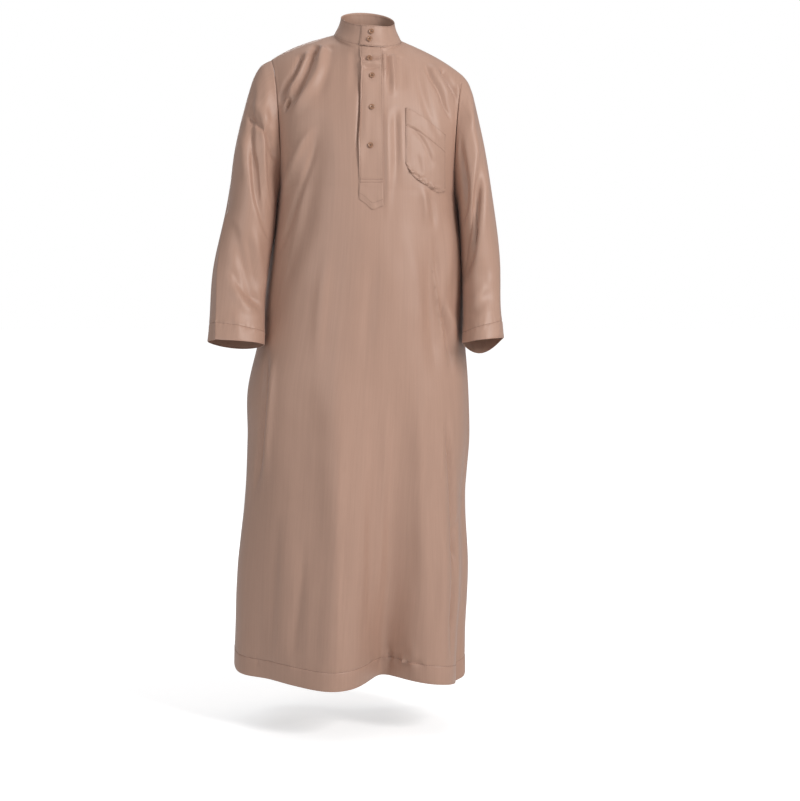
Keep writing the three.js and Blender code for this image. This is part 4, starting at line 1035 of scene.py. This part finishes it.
EDGE_STITCH = 2.6  # from the placket's long edges


def placket_surface():
    """The placket lies on the front, gapes along its buttoned edge, and dips at its top button."""
    across, share = np.meshgrid(spread(-1, 1, 0.055, (-0.96, 0.96)), spread(0, 1, 0.0062, (0.003, 0.997)))
    end = read(PLACKET_ENDS, "across", across * PLACKET_ACROSS)["z"]
    hem = -LENGTH + read(HEM[FRONT], "across", across * PLACKET_ACROSS)["rise"]
    low = (end - hem) / (UNDERARM_Z - hem)
    up = low + (2 - PLACKET_TOP / CHEST_RUN - low) * share
    rough_z = panel_form(FRONT, across * PLACKET_ACROSS, up)[..., 2]  # before folds and the stance
    far, middle, reach = PLACKET_DRAWN
    place = across * PLACKET_ACROSS + far * bump(rough_z, middle, reach) * (1 - across) / 2
    base = panel(FRONT, place, up)
    normals = normals_of(base, 1)
    z = base[..., 2]
    from_left = (1 + across) * PLACKET_ACROSS * QUARTER_GIRTH
    from_right = (1 - across) * PLACKET_ACROSS * QUARTER_GIRTH
    from_edge = np.minimum(from_left, from_right)
    gape, fading = PLACKET_GAPE
    gaping = (1 - smooth(*PLACKET_GAPE_HIGH, z)) * smooth(*PLACKET_GAPE_LOW, z)
    lift = PLACKET_LIFT + gape * np.exp(-from_left / fading) * gaping
    for height, reach in PLACKET_BULGES:
        lift += 1.2 * np.exp(-from_left / 9) * bump(z, height, reach)
    for size, height, reach in PLACKET_WRINKLES:
        lift += size * bump(z, height, reach)
    for height in BUTTON_HEIGHTS[1:]:  # each of these presses a shallow dimple
        lift -= 0.8 * bump(z, height, 9) * bump(from_left, 25, 10)
    lift += 0.35 * waves(from_left, z, 61, 46)
    # the grooves of the edge stitching and of the rows across
    lift -= 0.7 * bump(from_edge, EDGE_STITCH, 0.9) * (z > PLACKET_CROSS_STITCHES[0] + 3)
    for height in PLACKET_CROSS_STITCHES:
        lift -= 0.9 * bump(z, height, 1.4)
    # full along its right side and its foot, rolled at its edges, and puckered at its point
    lift += 0.9 * bump(share, 0.012, 0.014) + 0.5 * bump(from_right, 1.5, 4)
    lift -= 0.5 * bump(share, 0, 0.004) + 0.6 * bump(from_edge, 0, 0.7)
    lift += 0.7 * waves(from_left, z, 62, 15) * bump(z, -352, 12)
    return base + normals * np.maximum(lift, PLACKET_LEAST)[..., None], from_left


placket, placket_from_left = placket_surface()
placket_shell = shell("cloth_placket", placket, normals_of(placket, 1), PLACKET_CLOTH)
cloth_piece(placket_shell, SATIN_TRIM, "placket")


# ------------------------------------------------------------------ pocket
POCKET_X = (77, 158)
POCKET_Z = (-288, -151)
POCKET_DROP = 46  # how much lower its wearer's-left side hangs
POCKET_CORNER = 22  # how much its lower corners are cut
POCKET_BAND = 36  # the turned-down top
POCKET_CLOTH = 0.7
POCKET_LIFT = 1.8  # of its face over the front panel
POCKET_FULLNESS = 1.0  # how much more inside its seams
POCKET_LEAST = 0.95
POCKET_PASSES = 3  # it bridges the smallest creases of the front
POCKET_CREASES = [
    (-1.7, 4, 3, 0.15, 0.3, ((83, -198), (98, -208), (113, -228), (124, -254), (134, -279))),
    (1.6, 5, 8, 0.2, 0.3, ((90, -190), (106, -206), (122, -230), (133, -256), (140, -284))),
    (1.2, 5, 6, 0.3, 0.4, ((104, -240), (112, -272), (116, -300))),
    (-1.0, 5, 5, 0.3, 0.4, ((98, -250), (104, -280), (106, -302))),
]


def pocket_surface():
    """A patch with cut lower corners whose wearer's-left side hangs lower, slightly full at its mouth."""
    across, up = np.meshgrid(spread(0, 1, 0.02, (0.008, 0.992)), spread(0, 1, 0.0135, (0.005, 0.995)))
    cut = POCKET_CORNER * (1 - up) ** 6 * (2 * across - 1) ** 4
    x = POCKET_X[0] + (POCKET_X[1] - POCKET_X[0]) * across
    z = POCKET_Z[0] + cut + (POCKET_Z[1] - POCKET_Z[0] - cut) * up - POCKET_DROP * across**1.3
    z = z - SHOULDER_TILT * x * smooth(TILT_LOW_Z, TILT_HIGH_Z, z)
    base = seen_from(tree_of(panels[FRONT]), FRONT, x, z)
    for _ in range(POCKET_PASSES):
        beside = base[:-2, 1:-1] + base[2:, 1:-1] + base[1:-1, :-2] + base[1:-1, 2:]
        base[1:-1, 1:-1] = (base[1:-1, 1:-1] * 2 + beside) / 6
    normals = normals_of(base, 1)
    from_side = np.minimum(across, 1 - across) * (POCKET_X[1] - POCKET_X[0])
    from_top = (1 - up) * (POCKET_Z[1] - POCKET_Z[0])
    from_low = up * (POCKET_Z[1] - POCKET_Z[0])
    from_seam = np.minimum(from_side, from_low)
    lift = POCKET_LIFT + POCKET_FULLNESS * smooth(1, 12, from_seam)
    lift += 1.0 * bump(from_top, 0, 16) * bump(across, 0.45, 0.26)  # its mouth stands open a little
    # its turned-down band, with the groove of the band's stitching
    lift += TURNED_STEP * (1 - smooth(POCKET_BAND - 2, POCKET_BAND, from_top))
    lift -= 1.7 * bump(from_top, POCKET_BAND, 1.6)
    lift += crease_height(POCKET_CREASES, x, z)
    # the seam's groove, the rolled edges, and the puckers along its foot
    lift -= 0.45 * bump(from_seam, 2.4, 0.8) + 0.5 * bump(np.minimum(from_seam, from_top), 0, 0.8)
    lift += (0.6 + 2.2 * waves(x, z, 71, 12)) * bump(from_low, 5, 8)
    lift += 0.3 * waves(x, z, 72, 42)
    return base + normals * np.maximum(lift, POCKET_LEAST)[..., None], from_top


pocket, pocket_from_top = pocket_surface()
pocket_shell = shell("cloth_pocket", pocket, normals_of(pocket, 1), POCKET_CLOTH)
cloth_piece(pocket_shell, SATIN_TRIM, "pocket")

# ------------------------------------------------------------------ collar
COLLAR_CLOTH = 1.8
COLLAR_GAP = 0.3  # between the collar and the neckline
COLLAR_HEIGHT = 43
COLLAR_LEAN = 10  # inwards at its top
COLLAR_SIDE_TIP = 5  # how much lower it is at the sides of the neck
COLLAR_LAP = 2.6  # how far its upper end stands off the lower one
COLLAR_LAP_LIFT = 0.3
COLLAR_START_X, COLLAR_END_X = 24, -15
COLLAR_LAP_TURN = 0.55  # radians in which the lap ends
NECK_RADIUS = 68


def neck_angle(x):
    """The turn round the neck at which the front neckline has this x."""
    return math.asin((x - NECK_CENTRE[FRONT][0]) / NECK_HALF_WIDTH)


def collar_point(turn, rise, lap):
    """A point of the collar's outer face: round the neck, up the band, and out by the lap."""
    fall = np.abs(np.cos(turn))
    front = np.cos(turn) >= 0
    x0, y0, z0 = (np.where(front, a, b) for a, b in zip(NECK_CENTRE[FRONT], NECK_CENTRE[BACK]))
    tip = COLLAR_SIDE_TIP * np.sin(turn) ** 2
    out = lap - (COLLAR_LEAN + tip) * np.sin(rise * math.pi / 2)
    foot = COLLAR_GAP + COLLAR_LAP_LIFT * lap
    return points_of(
        x0 * fall + NECK_HALF_WIDTH * np.sin(turn) + np.sin(turn) * out,
        NECK_SIDE[0] + (y0 - NECK_SIDE[0]) * fall - np.cos(turn) * out,
        NECK_SIDE[1] + (z0 - NECK_SIDE[1]) * fall + foot + (COLLAR_HEIGHT - tip) * rise,
    )


COLLAR_FROM = neck_angle(COLLAR_START_X)
COLLAR_TO = neck_angle(COLLAR_END_X) - 2 * math.pi


def collar_surface(turn, rise):
    """The stand collar: a doubled band that laps over its own end, with soft edges."""
    lap_start = COLLAR_FROM - 2 * math.pi
    lap = COLLAR_LAP * (1 - smooth(lap_start + 0.05, lap_start + COLLAR_LAP_TURN, turn))
    grid = stance(collar_point(turn, rise, lap))
    normals = normals_of(grid, -1)
    from_end = np.minimum(COLLAR_FROM - turn, turn - COLLAR_TO) * NECK_RADIUS
    from_edge = np.minimum(np.minimum(rise, 1 - rise) * COLLAR_HEIGHT, from_end)
    height = 0.7 * waves(turn * NECK_RADIUS, rise * 60, 81, 120)
    # full inside its edges, with the groove of its stitching, rolled edges and small puckers
    height += 0.5 * smooth(1, 8, from_edge) - 0.35 * bump(from_edge, 3, 0.9) - 0.5 * bump(from_edge, 0, 0.9)
    height += 0.25 * waves(turn * NECK_RADIUS, rise * 20, 82, 13) * bump(from_edge, 4, 4)
    return grid + normals * height[..., None], from_edge


near_end = 0.6 / NECK_RADIUS
collar_ends = (near_end - COLLAR_FROM, -COLLAR_TO - near_end)
collar_turns = -spread(-COLLAR_FROM, -COLLAR_TO, 1.9 / NECK_RADIUS, collar_ends)
collar_turn, collar_rise = np.meshgrid(collar_turns, spread(0, 1, 0.04, (0.014, 0.07, 0.93, 0.986)))
collar, collar_from_edge = collar_surface(collar_turn, collar_rise)
collar_thickness = COLLAR_CLOTH - 1.0 * bump(collar_from_edge, 0, 0.9)
collar_shell = shell("cloth_collar", collar, normals_of(collar, -1), collar_thickness[..., None])
cloth_piece(collar_shell, SATIN_TRIM, "collar")

# ------------------------------------------------------------------ buttons
BUTTON_SHANK = 1.3
BUTTON_TURNS = 72  # points round a button
BUTTON_RADIUS = 5.6
BUTTON_FLOOR = 1.55  # thickness of the dished face
RIM_HEIGHT, RIM_FROM = 0.75, (3.1, 4.1)
RIM_ROUND, RIM_ROUND_FROM = 0.8, 4.7
UNDERSIDE = 0.93  # of the radius
HOLE_OUT = 1.45
HOLE_DEPTH, HOLE_EDGE = 0.9, (0.55, 0.85)
STRAND = 0.24  # half of a strand's thickness
STRAND_APART = 0.22
STRAND_SIDES = 8
SHANK = 1.5


def button_mesh():
    """A four-hole button with a rounded rim and a dished face, lying on z = 0 and facing +Z."""
    outer_radii = (2.8, 3.2, 3.6, 3.9, 4.2, 4.5, 4.8, 5.1, 5.35, 5.52, BUTTON_RADIUS)
    radii = np.concatenate([np.arange(11) * 0.25, outer_radii])
    turns = np.arange(BUTTON_TURNS) / BUTTON_TURNS * 2 * math.pi
    turn, radius = np.meshgrid(turns, radii)
    dish = BUTTON_FLOOR + RIM_HEIGHT * smooth(*RIM_FROM, radius)
    dish -= RIM_ROUND * smooth(RIM_ROUND_FROM, BUTTON_RADIUS, radius) ** 2
    x, y = radius * np.cos(turn), radius * np.sin(turn)
    for corner in (45, 135, 225, 315):
        cx, cy = HOLE_OUT * math.cos(math.radians(corner)), HOLE_OUT * math.sin(math.radians(corner))
        dish -= HOLE_DEPTH * (1 - smooth(*HOLE_EDGE, np.hypot(x - cx, y - cy)))
    top = points_of(x, y, BUTTON_SHANK + dish)
    under = points_of(x * UNDERSIDE, y * UNDERSIDE, np.full(x.shape, float(BUTTON_SHANK)))
    grid = np.vstack([top, under[::-1]])
    faces = quads(*grid.shape[:2], wraps=True)[:, [0, 3, 2, 1]]
    return grid.reshape(-1, 3), faces


def thread_bars():
    """Four strands of thread that cross between the holes, and the wound shank under the button."""
    verts, faces = [], []

    def bar(a, b, thick):
        """A round bar with tapered ends from a to b."""
        a, b = np.array(a, float), np.array(b, float)
        run = (b - a) / np.linalg.norm(b - a)
        side = np.cross(run, (0, 0, 1.0)) if abs(run[2]) < 0.9 else np.array((1.0, 0, 0))
        side /= np.linalg.norm(side)
        rise = np.cross(side, run)
        start = len(verts)
        for p, scale in ((a, 0.35), (a + run * thick, 1), (b - run * thick, 1), (b, 0.35)):
            for i in range(STRAND_SIDES):
                t = i * 2 * math.pi / STRAND_SIDES
                verts.append(p + (side * math.cos(t) + rise * math.sin(t)) * thick * scale)
        for ring in range(3):
            for i in range(STRAND_SIDES):
                j = (i + 1) % STRAND_SIDES
                k = start + ring * STRAND_SIDES
                faces.append((k + i, k + j, k + STRAND_SIDES + j, k + STRAND_SIDES + i))

    level = BUTTON_SHANK + BUTTON_FLOOR + 0.2
    over = level + 0.2
    spot = HOLE_OUT * math.sqrt(0.5)
    for offset in (-STRAND_APART, STRAND_APART):
        bar((-spot + offset, -spot - offset, level), (spot + offset, spot - offset, level), STRAND)
        bar((-spot + offset, spot + offset, over), (spot + offset, -spot + offset, over), STRAND)
    bar((0, 0, -0.3), (0, 0, BUTTON_SHANK + 0.2), SHANK)
    return np.array(verts), np.array(faces)


def put_button(name, place, normal, turn, node):
    """Sets a button and its thread on the cloth."""
    facing = Vector(normal).to_track_quat("Z", "Y").to_matrix() @ Matrix.Rotation(math.radians(turn), 3, "Z")
    facing = np.array(facing)
    for part, (points, faces), sharp, material, nodes in (
        ("button", button_mesh(), 50, HORN, [node]),
        ("thread", thread_bars(), 35, BUTTON_THREAD, []),
    ):
        obj = mesh_from(f"{name}_{part}", points @ facing.T + place, faces, sharp=sharp)
        finished(obj, material, nodes)


placket_tree = tree_of(placket)
BUTTON_PLACES = zip(BUTTON_HEIGHTS, (4, 9, 8.6, 6), (12, -8, 20, 3))  # height, x, and the button's turn
BUTTON_SEAT = 4  # the cloth this far round a button sets its slant
SEAT_GAP = 0.1
for number, (height, x, turn) in enumerate(BUTTON_PLACES, 1):
    around_x = x + BUTTON_SEAT * np.array([-1, 1, 0, 0, 0])
    around_z = BUTTON_SEAT * np.array([0, 0, -1, 1, 0]) + height - SHOULDER_TILT * x
    around = seen_from(placket_tree, FRONT, around_x, around_z)
    normal = np.cross(around[1] - around[0], around[3] - around[2])
    normal /= np.linalg.norm(normal)
    put_button(f"placket_{number}", around[4] + normal * SEAT_GAP, normal, turn, f"button_{number}")
for name, x, rise, turn in (("upper", 8, 0.7, 15), ("lower", 4, 0.32, -10)):
    spot = neck_angle(x) - 2 * math.pi
    turns, rises = np.meshgrid(spot + np.array([0.05, 0, -0.05]), rise + np.array([-0.08, 0, 0.08]))
    patch, _ = collar_surface(turns, rises)
    normal = normals_of(patch, -1)[1, 1]
    put_button(f"collar_{name}", patch[1, 1] + normal * SEAT_GAP, normal, turn, f"collar_button_{name}")


# ------------------------------------------------------------------ sewing
def stitch_tree():
    """Geometry nodes: evenly spaced stitches of thread along every line of a mesh."""
    tree = bpy.data.node_groups.new("stitch_row", "GeometryNodeTree")
    tree.interface.new_socket("Geometry", in_out="INPUT", socket_type="NodeSocketGeometry")
    for label, kind, value in (
        ("Pitch", "Float", 0.0032),
        ("Stitch length", "Float", 0.0023),
        ("Thread radius", "Float", 0.00033),
        ("Slant", "Float", 0.06),
        ("Seed", "Int", 4),
    ):
        socket = tree.interface.new_socket(label, in_out="INPUT", socket_type="NodeSocket" + kind)
        socket.default_value = value
    tree.interface.new_socket("Thread", in_out="INPUT", socket_type="NodeSocketMaterial")
    tree.interface.new_socket("Geometry", in_out="OUTPUT", socket_type="NodeSocketGeometry")
    ins, outs = tree.nodes.new("NodeGroupInput"), tree.nodes.new("NodeGroupOutput")

    def add(kind, **sockets):
        """A new node with its inputs linked or set."""
        return feed(tree, tree.nodes.new(kind), **sockets)

    line = add("GeometryNodeMeshToCurve", Mesh=ins.outputs["Geometry"])
    spots = add("GeometryNodeCurveToPoints", Curve=line.outputs["Curve"])
    spots.mode = "LENGTH"
    tree.links.new(ins.outputs["Pitch"], spots.inputs["Length"])
    half = maths(tree, "MULTIPLY", ins.outputs["Stitch length"], 0.5)
    radius = ins.outputs["Thread radius"]
    size = add("ShaderNodeCombineXYZ", X=radius, Y=radius, Z=half)
    one = add("GeometryNodeMeshUVSphere", Segments=6, Rings=4, Radius=1.0)
    shaped = add("GeometryNodeTransform", Geometry=one.outputs["Mesh"], Scale=size.outputs[0])
    slant = add("FunctionNodeRandomValue", Seed=ins.outputs["Seed"])
    slant.data_type = "FLOAT"
    floats = [s for s in slant.inputs if s.type == "VALUE"]
    tree.links.new(maths(tree, "MULTIPLY", ins.outputs["Slant"], -1.0), floats[0])
    tree.links.new(ins.outputs["Slant"], floats[1])
    slant_out = [s for s in slant.outputs if s.type == "VALUE"][0]
    turn = add("ShaderNodeCombineXYZ", X=slant_out, Y=slant_out)
    rotation = add("FunctionNodeEulerToRotation")
    tree.links.new(turn.outputs[0], rotation.inputs[0])
    both = add("FunctionNodeRotateRotation")
    tree.links.new(spots.outputs["Rotation"], both.inputs[0])
    tree.links.new(rotation.outputs[0], both.inputs[1])
    placed = add("GeometryNodeInstanceOnPoints", Points=spots.outputs["Points"], Instance=shaped.outputs[0])
    tree.links.new(both.outputs[0], placed.inputs["Rotation"])
    real = add("GeometryNodeRealizeInstances", Geometry=placed.outputs[0])
    done = add("GeometryNodeSetMaterial", Geometry=real.outputs[0])
    tree.links.new(ins.outputs["Thread"], done.inputs["Material"])
    tree.links.new(done.outputs[0], outs.inputs["Geometry"])
    return tree


STITCH_ROW = stitch_tree()
STITCH_LIFT = 0.12  # of a row of stitches, off the cloth


def sew(name, lines, slot, closed=(), **settings):
    """Rows of stitches along lines of points in millimetres, made into one plain mesh."""
    points, edges = [], []
    for i, line in enumerate(lines):
        start = len(points)
        points += [tuple(p / MM_PER_METRE) for p in line]
        edges += [(start + k, start + k + 1) for k in range(len(line) - 1)]
        if i in closed:
            edges.append((start + len(line) - 1, start))
    mesh = bpy.data.meshes.new(name + "_lines")
    mesh.from_pydata(points, edges, [])
    guide = link(name + "_lines", mesh)
    modifier = guide.modifiers.new("stitches", "NODES")
    modifier.node_group = STITCH_ROW
    values = {"Thread": THREAD, **{k.replace("_", " "): v for k, v in settings.items()}}
    for item in STITCH_ROW.interface.items_tree:
        if item.in_out == "INPUT" and item.name in values:
            modifier[item.identifier] = values[item.name]
    guide.update_tag()
    evaluated = guide.evaluated_get(bpy.context.evaluated_depsgraph_get())
    made = bpy.data.meshes.new_from_object(evaluated)
    made.polygons.foreach_set("use_smooth", np.ones(len(made.polygons), bool))
    if not made.polygons:
        raise RuntimeError(f"{name} has no stitches")
    bpy.data.objects.remove(guide)
    return finished(link(name, made), THREAD)


def row_at(grid, normals, rows_key, value):
    """The line across a grid of points at one value of its rows' key, lifted off the cloth."""
    at = np.interp(value, rows_key, np.arange(len(rows_key)))
    i = min(int(at), len(rows_key) - 2)
    share = at - i
    line = grid[i] * (1 - share) + grid[i + 1] * share
    out = normals[i] * (1 - share) + normals[i + 1] * share
    return line + out * STITCH_LIFT


hem_lines = []
for face, grid in panels.items():
    hem_lines.append(row_at(grid, normals_of(grid, -face), UP, HEM_BAND / BODY_RUN)[2:-2])
cuff_lines = []
for side, grid in sleeves.items():
    cuff_lines.append(row_at(grid, normals_of(grid, side, True), ALONG, 1 - CUFF_BAND / SLEEVE_RUN))
sew("sewing_hem", hem_lines, "cloth")
sew("sewing_cuffs", cuff_lines, "cloth", closed=(0, 1))


def level_line(grid, key, value):
    """The lines along which a key over a grid has one value, read column by column."""
    normals = normals_of(grid, 1)
    line = []
    for c in range(grid.shape[1]):
        k = key[:, c]
        crossing = np.nonzero((k[:-1] - value) * (k[1:] - value) <= 0)[0]
        if len(crossing):
            r = crossing[0]
            share = (value - k[r]) / (k[r + 1] - k[r]) if k[r + 1] != k[r] else 0
            line.append(grid[r, c] * (1 - share) + grid[r + 1, c] * share + normals[r, c] * STITCH_LIFT)
    return np.array(line)


# placket: both long edges, and two rows across above the point
placket_lifted = placket + normals_of(placket, 1) * STITCH_LIFT
placket_z = placket[..., 2]
places = placket_from_left[0]
placket_lines = []
for place in (EDGE_STITCH, places[-1] - EDGE_STITCH):
    c = int(np.argmin(np.abs(places - place)))
    placket_lines.append(placket_lifted[(placket_z[:, c] > PLACKET_CROSS_STITCHES[1]), c])
for height in PLACKET_CROSS_STITCHES:
    placket_lines.append(level_line(placket, placket_z, height)[2:-2])
placket_lines.append(placket_lifted[3, 2:-2])
sew("sewing_placket", placket_lines, "trim_cloth")

# pocket: down one side, along the foot and up the other, the band's row, and a bar at each mouth corner
pocket_lifted = pocket + normals_of(pocket, 1) * STITCH_LIFT
rim = 2  # rows or columns in from the edge
rim_line = np.vstack([
    pocket_lifted[::-1, rim][:-rim],
    pocket_lifted[rim, rim + 1 : -rim - 1],
    pocket_lifted[rim + 1 :, -rim - 1],
])
band_line = level_line(pocket, pocket_from_top, POCKET_BAND)
bars = []
for c in (1, -2):
    corner = pocket_lifted[-2, c]
    inward = pocket_lifted[-2, c + (4 if c > 0 else -4)]
    bars.append(np.array([corner + (inward - corner) * t for t in np.linspace(0, 1, 6)]))
sew("sewing_pocket", [rim_line, band_line[1:-1], *bars], "trim_cloth")

# collar: a row along the foot, up one end and back along the top
collar_lifted = collar + normals_of(collar, -1) * STITCH_LIFT
collar_line = np.vstack([
    collar_lifted[rim, rim:-rim],
    collar_lifted[rim:-rim, -rim - 1],
    collar_lifted[-rim - 1, rim:-rim][::-1],
])
sew("sewing_collar", [collar_line], "trim_cloth", Thread_radius=0.00028)


# ------------------------------------------------------------------ light, floor and camera
def area_light(name, place, aim, size, power, colour=(1, 1, 1)):
    """A soft rectangular lamp that points at a place."""
    lamp = bpy.data.lights.new(name, "AREA")
    lamp.shape = "RECTANGLE"
    lamp.size, lamp.size_y = size
    lamp.energy = power
    lamp.color = colour
    obj = bpy.data.objects.new(name, lamp)
    bpy.context.scene.collection.objects.link(obj)
    obj.location = place
    obj.rotation_euler = (Vector(aim) - Vector(place)).to_track_quat("-Z", "Y").to_euler()


area_light("key", (2.5, -2.5, 1.2), (0, 0, -0.55), (1.2, 1.8), 102, (1, 0.98, 0.965))
area_light("fill", (-2.1, -3.3, 0.5), (0, 0, -0.6), (2.0, 2.4), 33)
area_light("top", (0, 0.4, 2.4), (0, 0, -0.3), (2.2, 1.6), 16)
area_light("behind", (-0.5, 3.4, 0.9), (0, 0, -0.5), (1.8, 2.0), 40)


def white_room(lit, seen):
    """A white surround that lights the part less than it shows."""
    world = bpy.data.worlds.new("studio")
    bpy.context.scene.world = world
    world.use_nodes = True
    tree = world.node_tree
    light = feed(tree, tree.nodes["Background"], Color=(0.97, 0.98, 1, 1), Strength=lit)
    shown = feed(tree, tree.nodes.new("ShaderNodeBackground"), Color=(1, 1, 1, 1), Strength=seen)
    path, either = tree.nodes.new("ShaderNodeLightPath"), tree.nodes.new("ShaderNodeMixShader")
    tree.links.new(path.outputs["Is Camera Ray"], either.inputs[0])
    tree.links.new(light.outputs[0], either.inputs[1])
    tree.links.new(shown.outputs[0], either.inputs[2])
    tree.links.new(either.outputs[0], tree.nodes["World Output"].inputs["Surface"])


white_room(0.3, 1.0)
FLOOR_Z = -1.43
FLOOR_REACH = 60.0
FLOOR_GLOW = (0.5, 0.85)  # under the part, and far from it, where the floor meets the white surround
FLOOR_FADE = 7.0
CAMERA_DOWN = 2.874  # degrees that it looks down


def white_floor():
    """A pale floor that pales into the surround with distance."""
    corners = [(x * FLOOR_REACH, y * FLOOR_REACH, FLOOR_Z) for x, y in ((-1, -1), (1, -1), (1, 1), (-1, 1))]
    mesh = bpy.data.meshes.new("floor")
    mesh.from_pydata(corners, [], [(0, 1, 2, 3)])
    made, tree, shader = new_material("pale floor")
    feed(tree, shader, Base_Color=(0.82, 0.82, 0.82, 1), Roughness=0.9, Specular_IOR_Level=0.1)
    place, away = tree.nodes.new("ShaderNodeTexCoord"), tree.nodes.new("ShaderNodeVectorMath")
    away.operation = "LENGTH"
    tree.links.new(place.outputs["Object"], away.inputs[0])
    glow = ranged(tree, away.outputs["Value"], *FLOOR_GLOW, From_Min=-FLOOR_Z, From_Max=FLOOR_FADE)
    shown = maths(tree, "MULTIPLY", glow, tree.nodes.new("ShaderNodeLightPath").outputs["Is Camera Ray"])
    tint = feed(tree, tree.nodes.new("ShaderNodeCombineColor"), Red=shown, Green=shown, Blue=shown)
    feed(tree, shader, Emission_Color=tint.outputs[0], Emission_Strength=1)
    mesh.materials.append(made)
    return link("floor", mesh)


white_floor()
bpy.context.scene.view_settings.view_transform = "Standard"

camera = bpy.data.cameras.new("camera")
camera.sensor_width = 36
camera.lens = 86.2
camera.shift_x = 0.0406
camera.clip_end = 100
view = bpy.data.objects.new("camera", camera)
bpy.context.scene.collection.objects.link(view)
view.location = (0, -4.0, -0.553)
view.rotation_euler = (math.radians(90 - CAMERA_DOWN), 0, 0)
bpy.context.scene.camera = view
